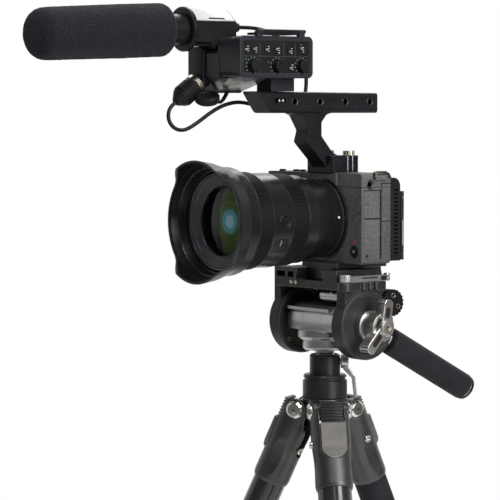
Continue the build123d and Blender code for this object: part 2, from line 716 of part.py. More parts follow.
def handle_cuts():
    # side grooves with accessory threads, the switch slot and the screw holes
    cuts = []
    groove_y = (handle_holes[0] - 4, handle_holes[-1] + 5)
    for side in (-1, 1):
        face = (side * (handle_half - 1.2), side * (handle_half + 1))
        cuts.append(block(face, groove_y, (handle_hole_z - 3.4, handle_hole_z + 3.4)))
        for y in handle_holes:
            start = (side * (handle_half - 9), y, handle_hole_z)
            cuts.append(rod(hole_radius, start, (side * (handle_half + 1), y, handle_hole_z)))
    slot_x = (handle_half - 2.4, handle_half + 1)
    cuts.append(block(slot_x, (switch_y - 6, switch_y + 6), (handle_hole_z - 1.2, handle_hole_z + 2.8)))
    for place in handle_screw_places():
        cuts.append(post(handle_screw[2], body_top - 1, handle_foot_top + 1, *place))
    return cuts


def handle_screw_places():
    return [(side * handle_screw[0], handle_screw[1]) for side in (-1, 1)]


def handle_switch():
    z = handle_hole_z + 0.8
    x = (handle_half - 2.0, handle_half + 1.2)
    thumb = block(x, (switch_y - 3.4, switch_y + 3.4), (z - 1.6, z + 1.6))
    for y in (switch_y - 1.8, switch_y, switch_y + 1.8):
        thumb -= block((handle_half + 0.6, handle_half + 2), (y - 0.4, y + 0.4), (z - 2, z + 2))
    return thumb


def handle_screws():
    screws = []
    for place in handle_screw_places():
        head = post(5.2, handle_foot_top, handle_foot_top + 4.2, *place)
        head -= ribs(12, 5.2, 0.6, 1.2, handle_foot_top - 1, handle_foot_top + 6, Pos(*place, 0))
        screws.append(head + post(handle_screw[2], body_top - 5, handle_foot_top + 1, *place))
    return Compound(screws)


def audio_housing():
    # stepped box behind a round-cornered frame, with an input pod whose lower face leans to take the plug
    front, rear = audio_front, audio_rear
    low, high, step_top = audio_floor, audio_top, audio_low_top
    inset = audio_inset
    main = block((audio_step, audio_side - 2), (front + inset, rear - inset), (low + inset, high - inset))
    main = fillet(main.edges().filter_by(Axis.X), audio_corner)
    frame = block((audio_side - audio_frame, audio_side), (front, rear), (low, high))
    frame = fillet(frame.edges().filter_by(Axis.X), audio_corner)
    main += fillet(frame.faces().sort_by(Axis.X)[-1].edges(), 0.8)
    bridge = side_plate(
        [(front, low), (rear - 4, low), (rear - 4, step_top), (front + 4, step_top), (front, step_top - 4)],
        audio_pod[1] - 1, audio_step + 1,
    )
    pod = side_plate(
        [(front - 2, step_top), (front - 2, low + 8.5), (front + 12.6, low - 12.4), (-76.0, low - 12.4),
         (-58.0, low), (-58.0, step_top)],
        *audio_pod,
    )
    shoe = block((-10, 10), (-68, -43), (handle_top, low + 1))
    box = main + bridge + pod + shoe
    box -= block((panel_x, audio_side + 1), (front + 4, rear - 4), (low + 4, high - 4))
    for y in knob_y:
        box -= rod(knob_shaft + running, (audio_side - 8, y, knob_z), (audio_side + 1, y, knob_z))
    box -= plug_place() * rod(plug_radius, (0, -20, 0), (0, 11, 0))
    return box + cover_knuckles()


def cover_knuckles():
    x, z = cover_hinge
    ears = []
    for y in (cover_y[0] - gap - 6, cover_y[1] + gap):
        ear = rod(1.6, (x, y, z), (x, y + 6, z)) + block((x - 4, x), (y, y + 6), (audio_top - 1, z))
        ears.append(ear - rod(cover_pin + running, (x, y - 1, z), (x, y + 7, z)))
    return ears


def plug_place():
    return Pos(*plug_root) * Rot(plug_tilt, 0, 0)


def audio_cover():
    # clear flap folded back on top; it closes forward over the upper switches
    x, z = cover_hinge
    flap = block((x - 22, x - 1), cover_y, (z - 3, z - 1))
    flap += rod(1.6, (x, cover_y[0], z), (x, cover_y[1], z))
    flap += block((x - 2.4, x - 0.2), cover_y, (z - 2.4, z))
    return flap + rod(cover_pin, (x, cover_y[0] - 5, z), (x, cover_y[1] + 5, z))


def gain_knob(y):
    dial = rod(knob_radius, (panel_x + gap, y, knob_z), (audio_side + 4.4, y, knob_z))
    dial = chamfer(dial.edges().filter_by(GeomType.CIRCLE).sort_by(Axis.X)[-1], 0.6)
    dial -= ribs(16, knob_radius, 0.5, 0.9, 2, 6, Pos(panel_x, y, knob_z) * Rot(0, 90, 0))
    return dial + rod(knob_shaft, (audio_side - 7, y, knob_z), (audio_side, y, knob_z))


def mic_place():
    return Pos(mic_x, mic_pivot, mic_z) * Rot(mic_pitch, 0, 0) * Pos(0, -mic_pivot, 0)


def mic_turned(points):
    return mic_place() * revolve(make_face(Plane.XY * Polyline(*points, close=True)), Axis.Y)


def windscreen():
    # foam sleeve, a little slimmer to its blunt round-edged nose
    y0, y1 = foam_y
    bore_end = y0 + 12
    slim = foam_radius - 1.0
    outline = Plane.XY * (
        Polyline((0, bore_end), (0, y0), (slim - foam_nose, y0))
        + RadiusArc((slim - foam_nose, y0), (slim, y0 + foam_nose), -foam_nose)
        + Polyline((slim, y0 + foam_nose), (foam_radius, y0 + 85), (foam_radius, y1 - 5))
        + RadiusArc((foam_radius, y1 - 5), (foam_radius - 5, y1), -5)
        + Polyline((foam_radius - 5, y1), (capsule_radius, y1), (capsule_radius, bore_end), (0, bore_end))
    )
    return mic_place() * revolve(make_face(outline), Axis.Y)


def mic_barrel():
    nose, shoulder = foam_y[0] + 12, foam_y[1]
    return mic_turned(
        [(0, nose), (capsule_radius, nose), (capsule_radius, shoulder), (mic_barrel_radius, shoulder),
         (mic_barrel_radius, -92.0), (6.0, -88.0), (4.0, mic_end), (0, mic_end)]
    )


def mic_clamp():
    # split saddle round the barrel, with sloping upper flanks and a foot on the audio unit
    saddle = block((mic_x - 17, mic_x + 17), (-138, -94), (mic_z - 14.8, mic_z + 16.5))
    for side in (-1, 1):
        edge = mic_x + 18 * side
        flank = [(mic_x + 3 * side, mic_z + 17), (edge, mic_z + 17), (edge, mic_z + 5)]
        saddle -= front_plate(flank, -150, -90)
    saddle -= block((mic_x - 20, mic_x + 20), (-150, -120), (mic_z - 20, mic_z - 11.5))
    saddle += block((mic_x - 12, mic_x + 12), (-112, -96), (audio_low_top, mic_z - 12.6))
    radius = mic_barrel_radius
    return saddle - mic_turned([(0, -160), (radius, -160), (radius, mic_end), (0, mic_end)])


def xlr_plug():
    # metal nose in the pod, ring, ribbed boot and cable sleeve
    outline = [(0, 10), (plug_radius, 10), (plug_radius, -8), (9.4, -8), (9.4, -12), (8.8, -13), (8.8, -25),
               (6.6, -28), (3.6, -plug_length), (0, -plug_length)]
    body = revolve(make_face(Plane.XY * Polyline(*outline, close=True)), Axis.Y)
    for step in range(4):
        collar = Cylinder(10, 1.4) - Cylinder(8, 1.4)
        body -= Pos(0, -15.4 - 3.0 * step, 0) * Rot(90, 0, 0) * collar
    return plug_place() * body


def cable_route():
    # out of the microphone, down behind the audio unit, forward beside the handle, a loop, up into the plug
    outlet, tail = [(plug_place() * Pos(0, -reach, 0)).position for reach in (plug_length + 6.4, plug_length)]
    points = [(-22.0, -80.0, 54.8), (-22.0, -66.0, 55.2), (-22.3, -48.0, 52.7), (-23.0, -30.0, 45.5),
              (-24.0, -12.0, 34.5), (-24.6, -1.5, 19.0), (-24.8, -1.5, 1.0), (-24.6, -5.5, -11.0),
              (-24.5, -17.0, -17.0), (-24.4, -33.0, -17.0), (-24.4, -52.0, -13.5), (-24.6, -74.0, -8.5),
              (-25.4, -90.5, -11.0),
              (-26.6, -104.4, -17.5), (-28.0, -116.0, -25.5), (-29.2, -128.1, -32.5), (-30.2, -136.1, -33.2),
              (-31.0, -141.9, -30.5), (-31.6, -145.6, -25.3), (-32.0, -146.1, -18.9)]
    return [(x, y, handle_top + z) for x, y, z in points] + [tuple(outlet), tuple(tail)]


def mic_cable():
    points = [Vector(*point) for point in cable_route()]
    runs = [b - a for a, b in zip(points, points[1:])]
    radii = []
    for before, after in zip(runs, runs[1:]):
        half_turn = radians(before.get_angle(after) / 2)
        radii.append(0.45 * min(before.length, after.length) / tan(half_turn))
    path = FilletPolyline(*points, radius=radii)
    print("cable length", round(path.length, 1), "least radius", round(min(radii), 1))
    return sweep(Plane(points[0], z_dir=runs[0]) * Circle(cable_radius), path=path)


nodes = {}
for name, turn in leg_names.items():
    place = leg_place(turn)
    nodes[name + "_leg_shoulder"] = place * leg_shoulder()
    nodes[name + "_leg_tube"] = place * leg_tube()
    nodes[name + "_angle_tab"] = place * angle_tab()
    nodes[name + "_twist_lock"] = place * twist_lock()
    nodes[name + "_lower_leg"] = place * lower_leg()
nodes["spider"] = spider()
nodes["leg_hinge_bolts"] = hinge_bolts()
nodes["column_collar"] = column_collar()
nodes["ball_cup"] = ball_cup()
nodes["levelling_ball"] = levelling_ball()
nodes["ball_lock_lever"] = ball_lock_lever()
nodes["fluid_housing"] = fluid_housing()
nodes["right_side_plate"] = right_side_plate()
nodes["left_side_plate"] = left_side_plate()
nodes["balance_dial"] = balance_dial()
nodes["tilt_knob"] = tilt_knob()
nodes["pan_bar"] = pan_bar()
nodes["pan_grip"] = pan_grip()
nodes["platform"] = platform()
nodes["clamp_lever"] = clamp_lever()
nodes["quick_plate"] = quick_plate()
nodes["camera_screw"] = camera_screw()
nodes["front_shell"] = front_shell()
nodes["rear_shell"] = rear_shell()
nodes["lcd_panel"] = lcd_panel()
nodes["port_door"] = side_door(port_z)
nodes["media_door"] = side_door(media_z)
nodes["rec_button"] = rec_button()
nodes["lens_mount"] = lens_mount()
nodes["sensor_board"] = sensor_board()
nodes["lens_barrel"] = lens_barrel()
nodes["hold_button"] = hold_button()
nodes["iris_ring"] = grip_ring(*iris_ring)
nodes["zoom_ring"] = grip_ring(*zoom_ring, 48)
nodes["focus_ring"] = grip_ring(*focus_ring, 52)
nodes["optics"] = optics()
nodes["lens_hood"] = lens_hood()
nodes["handle_frame"] = handle_frame()
nodes["handle_switch"] = handle_switch()
nodes["handle_screws"] = handle_screws()
nodes["audio_housing"] = audio_housing()
nodes["audio_cover"] = audio_cover()
for number, y in enumerate(knob_y, 1):
    nodes["gain_knob_" + str(number)] = gain_knob(y)
nodes["windscreen"] = windscreen()
nodes["mic_barrel"] = mic_barrel()
nodes["mic_clamp"] = mic_clamp()
nodes["xlr_plug"] = xlr_plug()
nodes["mic_cable"] = mic_cable()

os.makedirs("parts", exist_ok=True)
for node, shape in nodes.items():
    export_step(Pos(0, pan_y, 0) * shape, "parts/" + node + ".step")
print(len(nodes), "nodes")
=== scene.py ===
from math import cos, pi, radians, sin

import bmesh
import bpy
from mathutils import Matrix, Vector, noise


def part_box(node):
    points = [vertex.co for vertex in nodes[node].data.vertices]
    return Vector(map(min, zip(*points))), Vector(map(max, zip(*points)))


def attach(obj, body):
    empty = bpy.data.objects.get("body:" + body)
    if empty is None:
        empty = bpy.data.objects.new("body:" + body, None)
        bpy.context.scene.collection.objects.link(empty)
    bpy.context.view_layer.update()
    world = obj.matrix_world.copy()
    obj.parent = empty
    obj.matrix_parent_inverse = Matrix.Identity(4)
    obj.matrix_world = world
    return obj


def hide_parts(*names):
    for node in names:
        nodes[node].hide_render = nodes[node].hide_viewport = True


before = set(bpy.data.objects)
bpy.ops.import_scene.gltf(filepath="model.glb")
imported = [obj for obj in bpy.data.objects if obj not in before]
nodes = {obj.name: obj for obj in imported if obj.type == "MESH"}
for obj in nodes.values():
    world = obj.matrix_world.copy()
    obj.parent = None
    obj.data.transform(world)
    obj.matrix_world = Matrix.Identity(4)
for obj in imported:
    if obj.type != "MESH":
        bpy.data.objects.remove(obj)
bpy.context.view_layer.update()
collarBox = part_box("column_collar")
panAxisY = (collarBox[0].y + collarBox[1].y) / 2
panAxis = Vector((0.0, panAxisY, 0.0))
home = Matrix.Translation(panAxis)
print("frame loaded,", len(nodes), "nodes")


# millimetres from the pan axis and the floor, in the frame's metres
def spot(x, y, z):
    return Vector((x / 1000, panAxisY + y / 1000, z / 1000))


# camera at the photograph's angle
photoView = {"lens": 179.7, "eye": (1682.3, -1388.1, 771.0), "heading": 52.2, "drop": 3.26}
cameraData = bpy.data.cameras.new("photoCamera")
cameraData.lens = photoView["lens"]
cameraData.sensor_width = 36.0
cameraData.clip_end = 50.0
photoCamera = bpy.data.objects.new("photoCamera", cameraData)
bpy.context.collection.objects.link(photoCamera)
heading = radians(photoView["heading"])
drop = radians(photoView["drop"])
sight = Vector((-sin(heading) * cos(drop), cos(heading) * cos(drop), -sin(drop)))
photoCamera.location = spot(*photoView["eye"])
photoCamera.rotation_euler = sight.to_track_quat("-Z", "Y").to_euler()
bpy.context.scene.camera = photoCamera


# mesh helpers, sizes in millimetres: each adds to a bmesh that makePiece closes into one object
def addBlock(bm, low, high, bevel, steps=2, place=home):
    cube = bmesh.ops.create_cube(bm, size=1.0)["verts"]
    middle = (Vector(low) + Vector(high)) / 2000
    size = (Vector(high) - Vector(low)) / 1000
    for corner in cube:
        corner.co = place @ (Vector(c * s for c, s in zip(corner.co, size)) + middle)
    bm.normal_update()
    edges = list({edge for corner in cube for edge in corner.link_edges})
    bmesh.ops.bevel(bm, geom=edges, offset=bevel / 1000, segments=steps, affect="EDGES", profile=0.5)


# profile: pairs of radius and height
def addTurned(bm, profile, place, segments=64, closed=False):
    rings = []
    for radius, height in profile:
        turns = [0.0] if radius < 1e-4 else [2 * pi * n / segments for n in range(segments)]
        points = [Vector((radius * cos(t), radius * sin(t), height)) / 1000 for t in turns]
        rings.append([bm.verts.new(place @ point) for point in points])
    pairs = list(zip(rings, rings[1:]))
    if closed:
        pairs.append((rings[-1], rings[0]))
    for lower, upper in pairs:
        for n in range(segments):
            m = (n + 1) % segments
            if len(lower) == 1 and len(upper) == 1:
                continue
            if len(lower) == 1:
                bm.faces.new((lower[0], upper[m], upper[n]))
            elif len(upper) == 1:
                bm.faces.new((lower[n], lower[m], upper[0]))
            else:
                bm.faces.new((lower[n], lower[m], upper[m], upper[n]))


def addPlate(bm, outline, place, thickness):
    base, top = [
        [bm.verts.new(place @ (Vector((x, y, z)) / 1000)) for x, y in outline] for z in (0.0, thickness)
    ]
    bm.faces.new(list(reversed(base)))
    bm.faces.new(top)
    for n in range(len(outline)):
        m = (n + 1) % len(outline)
        bm.faces.new((base[n], base[m], top[m], top[n]))


def softenEdges(bm, bevel):
    bmesh.ops.recalc_face_normals(bm, faces=bm.faces)
    bmesh.ops.bevel(bm, geom=list(bm.edges), offset=bevel / 1000, segments=2, affect="EDGES", profile=0.5)


# a frame whose Z runs along a direction
def along(origin, direction):
    return Matrix.Translation(origin) @ Vector(direction).to_track_quat("Z", "Y").to_matrix().to_4x4()


def closeMesh(bm, name):
    bmesh.ops.remove_doubles(bm, verts=bm.verts, dist=1e-7)
    bmesh.ops.recalc_face_normals(bm, faces=bm.faces)
    mesh = bpy.data.meshes.new(name)
    bm.to_mesh(mesh)
    bm.free()
    return mesh


def placePiece(mesh, name, finish, body, sharp=32):
    for face in mesh.polygons:
        face.use_smooth = True
    mesh.set_sharp_from_angle(angle=radians(sharp))
    if not mesh.materials:
        mesh.materials.append(finish)
    piece = bpy.data.objects.new(name, mesh)
    bpy.context.collection.objects.link(piece)
    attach(piece, body)
    return piece


def makePiece(bm, name, finish, body, sharp=32):
    return placePiece(closeMesh(bm, name), name, finish, body, sharp)


def makeTurned(name, profile, place, segments, finish, body, closed=False, sharp=32):
    bm = bmesh.new()
    addTurned(bm, profile, place, segments, closed)
    return makePiece(bm, name, finish, body, sharp)


def makeBlocks(name, corners, bevel, finish, body, steps=2, place=home):
    bm = bmesh.new()
    for low, high in corners:
        addBlock(bm, low, high, bevel, steps, place)
    return makePiece(bm, name, finish, body)


# node helpers: a group or tree with named sockets, and the small parts that recur in the finishes
def newGroup(name, inputs, outputs, kind="ShaderNodeTree"):
    tree = bpy.data.node_groups.new(name, kind)
    for label, form, *start in inputs:
        socket = tree.interface.new_socket(label, in_out="INPUT", socket_type="NodeSocket" + form)
        if start:
            socket.default_value = start[0]
    for label, form in outputs:
        tree.interface.new_socket(label, in_out="OUTPUT", socket_type="NodeSocket" + form)
    return tree, tree.nodes.new("NodeGroupInput"), tree.nodes.new("NodeGroupOutput")


def wire(tree, *pairs):
    for source, target in pairs:
        tree.links.new(source, target)


def mathNode(tree, operation, first, second=0.0, clamp=False):
    node = tree.nodes.new("ShaderNodeMath")
    node.operation = operation
    node.use_clamp = clamp
    for socket, value in zip(node.inputs, (first, second)):
        if isinstance(value, bpy.types.NodeSocket):
            tree.links.new(value, socket)
        else:
            socket.default_value = value
    return node.outputs[0]


def reachNode(tree, first, second):
    squares = [mathNode(tree, "MULTIPLY", side, side) for side in (first, second)]
    return mathNode(tree, "SQRT", mathNode(tree, "ADD", *squares))


def spreadValue(tree, mask, low, high, start=0.0, end=1.0, kind="LINEAR"):
    spread = tree.nodes.new("ShaderNodeMapRange")
    spread.interpolation_type = kind
    for label, value in zip(("From Min", "From Max", "To Min", "To Max"), (start, end, low, high)):
        spread.inputs[label].default_value = value
    tree.links.new(mask, spread.inputs["Value"])
    return spread.outputs["Result"]


# shader groups shared by the finishes
def buildGrainGroup():
    tree, given, result = newGroup(
        "surfaceGrain", [("Vector", "Vector"), ("Pitch", "Float", 900.0)],
        [("Height", "Float"), ("Tone", "Float")]
    )
    cells = tree.nodes.new("ShaderNodeTexVoronoi")
    cells.feature = "SMOOTH_F1"
    speckle = tree.nodes.new("ShaderNodeTexNoise")
    speckle.inputs["Detail"].default_value = 3.0
    cloud = tree.nodes.new("ShaderNodeTexNoise")
    cloud.inputs["Detail"].default_value = 4.0
    for texture, share in ((cells, 1.0), (speckle, 1.7), (cloud, 0.035)):
        pitch = mathNode(tree, "MULTIPLY", given.outputs["Pitch"], share)
        wire(tree, (given.outputs["Vector"], texture.inputs["Vector"]), (pitch, texture.inputs["Scale"]))
    height = mathNode(tree, "MULTIPLY", cells.outputs["Distance"], 0.6)
    height = mathNode(tree, "ADD", height, speckle.outputs["Fac"])
    tone = mathNode(tree, "MULTIPLY", speckle.outputs["Fac"], 0.55)
    tone = mathNode(tree, "ADD", tone, mathNode(tree, "MULTIPLY", cloud.outputs["Fac"], 0.45))
    tone = spreadValue(tree, tone, 0.0, 1.0, 0.36, 0.64)
    wire(tree, (height, result.inputs["Height"]), (tone, result.inputs["Tone"]))
    return tree


def buildHandlingGroup():
    tree, given, result = newGroup(
        "handlingMarks", [("Vector", "Vector"), ("Pitch", "Float", 26.0)], [("Mask", "Float")]
    )
    smear = tree.nodes.new("ShaderNodeTexNoise")
    smear.inputs["Detail"].default_value = 5.0
    smear.inputs["Distortion"].default_value = 1.2
    wire(
        tree, (given.outputs["Vector"], smear.inputs["Vector"]),
        (given.outputs["Pitch"], smear.inputs["Scale"]),
        (spreadValue(tree, smear.outputs["Fac"], 0.0, 1.0, 0.32, 0.72), result.inputs["Mask"]),
    )
    return tree


# rounded normals at the edges, and a mask for the painted edge highlight
def buildEdgeGroup():
    tree, given, result = newGroup(
        "edgeRoundingAndHighlight", [("Radius", "Float", 0.0005)], [("Normal", "Vector"), ("Mask", "Float")]
    )
    rounded = tree.nodes.new("ShaderNodeBevel")
    rounded.samples = 5
    surface = tree.nodes.new("ShaderNodeNewGeometry")
    facing = tree.nodes.new("ShaderNodeVectorMath")
    facing.operation = "DOT_PRODUCT"
    lost = mathNode(tree, "SUBTRACT", 1.0, facing.outputs["Value"])
    wire(
        tree, (given.outputs["Radius"], rounded.inputs["Radius"]),
        (rounded.outputs["Normal"], facing.inputs[0]), (surface.outputs["Normal"], facing.inputs[1]),
        (rounded.outputs["Normal"], result.inputs["Normal"]),
        (mathNode(tree, "MULTIPLY", lost, 5.0, clamp=True), result.inputs["Mask"]),
    )
    return tree


def buildTurnedGroup():
    tree, given, result = newGroup(
        "turnedLines", [("Vector", "Vector"), ("Pitch", "Float", 2500.0)], [("Height", "Float")]
    )
    split = tree.nodes.new("ShaderNodeSeparateXYZ")
    joined = tree.nodes.new("ShaderNodeCombineXYZ")
    lines = tree.nodes.new("ShaderNodeTexNoise")
    lines.inputs["Detail"].default_value = 2.0
    wire(
        tree, (given.outputs["Vector"], split.inputs["Vector"]),
        (reachNode(tree, split.outputs["X"], split.outputs["Y"]), joined.inputs["X"]),
        (split.outputs["Z"], joined.inputs["Y"]), (joined.outputs["Vector"], lines.inputs["Vector"]),
        (given.outputs["Pitch"], lines.inputs["Scale"]), (lines.outputs["Fac"], result.inputs["Height"]),
    )
    return tree


grainGroup = buildGrainGroup()
handlingGroup = buildHandlingGroup()
edgeGroup = buildEdgeGroup()
turnedGroup = buildTurnedGroup()


def startFinish(name, plain=None):
    finish = bpy.data.materials.new(name)
    finish.use_nodes = True
    tree = finish.node_tree
    shader = tree.nodes["Principled BSDF"]
    for label, value in (plain or {}).items():
        shader.inputs[label].default_value = value
    place = tree.nodes.new("ShaderNodeTexCoord").outputs["Object"]
    return finish, tree, shader, place


def groupNode(tree, group, place=None, **values):
    node = tree.nodes.new("ShaderNodeGroup")
    node.node_tree = group
    if place is not None:
        tree.links.new(place, node.inputs["Vector"])
    for label, value in values.items():
        node.inputs[label].default_value = value
    return node


def blendColour(tree, mask, first, second):
    mix = tree.nodes.new("ShaderNodeMix")
    mix.data_type = "RGBA"
    share, lower, upper = [socket for socket in mix.inputs if socket.enabled]
    tree.links.new(mask, share)
    for socket, value in ((lower, first), (upper, second)):
        if isinstance(value, bpy.types.NodeSocket):
            tree.links.new(value, socket)
        else:
            socket.default_value = (*value, 1.0)
    return [socket for socket in mix.outputs if socket.enabled][0]


# a pattern's own centre, turn and size
def centredPlace(tree, place, centre, turn=(0.0, 0.0, 0.0), size=1.0):
    mapping = tree.nodes.new("ShaderNodeMapping")
    mapping.vector_type = "TEXTURE"
    mapping.inputs["Location"].default_value = centre
    mapping.inputs["Rotation"].default_value = turn
    mapping.inputs["Scale"].default_value = (size, size, size)
    tree.links.new(place, mapping.inputs["Vector"])
    return mapping.outputs["Vector"]


# gloss smudged by handling, between two roughnesses
def smudgeGloss(tree, shader, place, rough, pitch=26.0):
    marks = groupNode(tree, handlingGroup, place, Pitch=pitch)
    tree.links.new(spreadValue(tree, marks.outputs["Mask"], *rough), shader.inputs["Roughness"])


def raiseSurface(tree, shader, height, strength, depth, normal=None):
    bump = tree.nodes.new("ShaderNodeBump")
    bump.inputs["Strength"].default_value = strength
    bump.inputs["Distance"].default_value = depth
    tree.links.new(height, bump.inputs["Height"])
    if normal is not None:
        tree.links.new(normal, bump.inputs["Normal"])
    tree.links.new(bump.outputs["Normal"], shader.inputs["Normal"])


def scaled(colour, share):
    return tuple(channel * share for channel in colour)


# paint, moulded plastic and rubber: speckled colour, smudged gloss, softened edges with a painted highlight
# along them
def coatedFinish(name, colour, rough, pitch=900.0, depth=0.00006, edge=0.0005, edgeHighlight=1.35, metal=0.0,
                 gloss=0.18, speckle=0.28):
    finish, tree, shader, place = startFinish(name, {"Metallic": metal, "Specular IOR Level": gloss})
    grain = groupNode(tree, grainGroup, place, Pitch=pitch)
    border = groupNode(tree, edgeGroup, Radius=edge)
    speckled = blendColour(tree, grain.outputs["Tone"], scaled(colour, 1 - speckle),
                           scaled(colour, 1 + speckle))
    # edges lightened in the colour as a painted highlight
    edgeHighlighted = blendColour(tree, border.outputs["Mask"], speckled, scaled(colour, edgeHighlight))
    tree.links.new(edgeHighlighted, shader.inputs["Base Color"])
    smudgeGloss(tree, shader, place, rough)
    raiseSurface(tree, shader, grain.outputs["Height"], 0.5, depth, border.outputs["Normal"])
    return finish


# turned or cast metal; the axis is the node's own, brought to Z by a Mapping node
def metalFinish(name, colour, rough, centre, turn=(0.0, 0.0, 0.0), pitch=2600.0, depth=0.00002, edge=0.0006):
    finish, tree, shader, place = startFinish(name, {"Metallic": 1.0})
    lines = groupNode(tree, turnedGroup, centredPlace(tree, place, centre, turn), Pitch=pitch)
    border = groupNode(tree, edgeGroup, Radius=edge)
    toned = blendColour(tree, lines.outputs["Height"], scaled(colour, 0.8), scaled(colour, 1.16))
    # edges lightened in the colour as a painted highlight
    bright = blendColour(tree, border.outputs["Mask"], toned,
                         tuple(min(1.0, c) for c in scaled(colour, 1.25)))
    tree.links.new(bright, shader.inputs["Base Color"])
    smudgeGloss(tree, shader, place, rough, 40.0)
    raiseSurface(tree, shader, lines.outputs["Height"], 0.35, depth, border.outputs["Normal"])
    return finish


# open foam: pores painted darker with depth as painted shade, under a faint sheen
def foamFinish(name):
    finish, tree, shader, place = startFinish(
        name, {"Roughness": 0.96, "Specular IOR Level": 0.15, "Sheen Weight": 0.05, "Sheen Roughness": 0.5}
    )
    pores = tree.nodes.new("ShaderNodeTexVoronoi")
    pores.feature = "F1"
    pores.inputs["Scale"].default_value = 780.0
    tree.links.new(place, pores.inputs["Vector"])
    grain = groupNode(tree, grainGroup, place, Pitch=1500.0)
    # deeper pore floors painted darker as painted shade
    shade = blendColour(tree, pores.outputs["Distance"], (0.016, 0.015, 0.024), (0.004, 0.004, 0.006))
    tree.links.new(shade, shader.inputs["Base Color"])
    depth = mathNode(tree, "MULTIPLY", pores.outputs["Distance"], -1.4)
    raiseSurface(tree, shader, mathNode(tree, "ADD", depth, grain.outputs["Height"]), 0.9, 0.0006)
    return finish


# lacquered carbon: long tows down the tube
def carbonFinish(name, centre, turn):
    finish, tree, shader, place = startFinish(
        name, {"Specular IOR Level": 0.3, "Coat Weight": 0.5, "Coat Roughness": 0.08}
    )
    stretch = tree.nodes.new("ShaderNodeVectorMath")
    stretch.operation = "MULTIPLY"
    stretch.inputs[1].default_value = (700.0, 700.0, 14.0)
    tow = tree.nodes.new("ShaderNodeTexNoise")
    tow.inputs["Scale"].default_value = 1.0
    tow.inputs["Detail"].default_value = 3.0
    wire(tree, (centredPlace(tree, place, centre, turn), stretch.inputs[0]),
         (stretch.outputs["Vector"], tow.inputs["Vector"]))
    shade = blendColour(tree, tow.outputs["Fac"], (0.004, 0.004, 0.005), (0.022, 0.022, 0.024))
    tree.links.new(shade, shader.inputs["Base Color"])
    smudgeGloss(tree, shader, place, (0.2, 0.32), 60.0)
    raiseSurface(tree, shader, tow.outputs["Fac"], 0.15, 0.00004)
    return finish


def clearFinish(name, tint, rough, bend):
    finish, tree, shader, place = startFinish(
        name, {"Base Color": (*tint, 1.0), "Transmission Weight": 1.0, "IOR": bend}
    )
    smudgeGloss(tree, shader, place, rough, 70.0)
    return finish


# inner group with a painted reflection: teal about an off-axis centre, green beyond it, black past a bowed
# edge
def paintedReflectionFinish(name, reflectionCentre, reach, edge):
    finish, tree, shader, place = startFinish(name, {"Specular IOR Level": 0.015})
    split = tree.nodes.new("ShaderNodeSeparateXYZ")
    tree.links.new(centredPlace(tree, place, reflectionCentre, size=reach), split.inputs["Vector"])
    ramp = tree.nodes.new("ShaderNodeValToRGB")
    stops = [
        (0.0, (0.62, 0.78, 0.88)), (1.0, (0.035, 0.055, 0.012)), (0.07, (0.32, 0.56, 0.70)),
        (0.13, (0.50, 0.72, 0.82)), (0.19, (0.18, 0.46, 0.58)), (0.25, (0.10, 0.38, 0.48)),
        (0.31, (0.14, 0.40, 0.42)), (0.35, (0.06, 0.19, 0.12)), (0.40, (0.10, 0.17, 0.04)),
        (0.46, (0.055, 0.11, 0.025)), (0.52, (0.11, 0.17, 0.04)), (0.60, (0.065, 0.115, 0.026)),
        (0.8, (0.085, 0.125, 0.03)),
    ]
    for index, (share, colour) in enumerate(stops):
        stop = ramp.color_ramp.elements[index] if index < 2 else ramp.color_ramp.elements.new(share)
        stop.color = (*colour, 1.0)
    tree.links.new(reachNode(tree, split.outputs["X"], split.outputs["Z"]), ramp.inputs["Fac"])
    bow = mathNode(tree, "MULTIPLY", split.outputs["Z"], split.outputs["Z"])
    bowed = mathNode(tree, "SUBTRACT", split.outputs["X"], mathNode(tree, "MULTIPLY", bow, 0.16))
    side = spreadValue(tree, bowed, 0.0, 1.0, edge - 0.03, edge + 0.03)
    # teal and green painted reflection, black where none is painted
    shade = blendColour(tree, side, (0.002, 0.002, 0.0025), ramp.outputs["Color"])
    tree.links.new(shade, shader.inputs["Base Color"])
    smudgeGloss(tree, shader, place, (0.3, 0.4), 50.0)
    return finish


def boardFinish(name):
    finish, tree, shader, place = startFinish(name)
    tracks = tree.nodes.new("ShaderNodeTexBrick")
    tracks.inputs["Scale"].default_value = 260.0
    for label, colour in (
        ("Color1", (0.01, 0.09, 0.04)), ("Color2", (0.012, 0.12, 0.05)), ("Mortar", (0.35, 0.24, 0.07)),
    ):
        tracks.inputs[label].default_value = (*colour, 1.0)
    wire(
        tree, (place, tracks.inputs["Vector"]), (tracks.outputs["Color"], shader.inputs["Base Color"]),
        (spreadValue(tree, tracks.outputs["Fac"], 0.5, 0.25), shader.inputs["Roughness"]),
    )
    return finish


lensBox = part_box("focus_ring")
lensAxis = Vector((0.0, 0.0, (lensBox[0].z + lensBox[1].z) / 2))
tiltAxis = spot(0, 5.0, 583.6)
lensLine = along(Vector((0.0, panAxisY, lensAxis.z)), (0, 1, 0))
acrossX = (0.0, radians(90), 0.0)
acrossY = (radians(90), 0.0, 0.0)

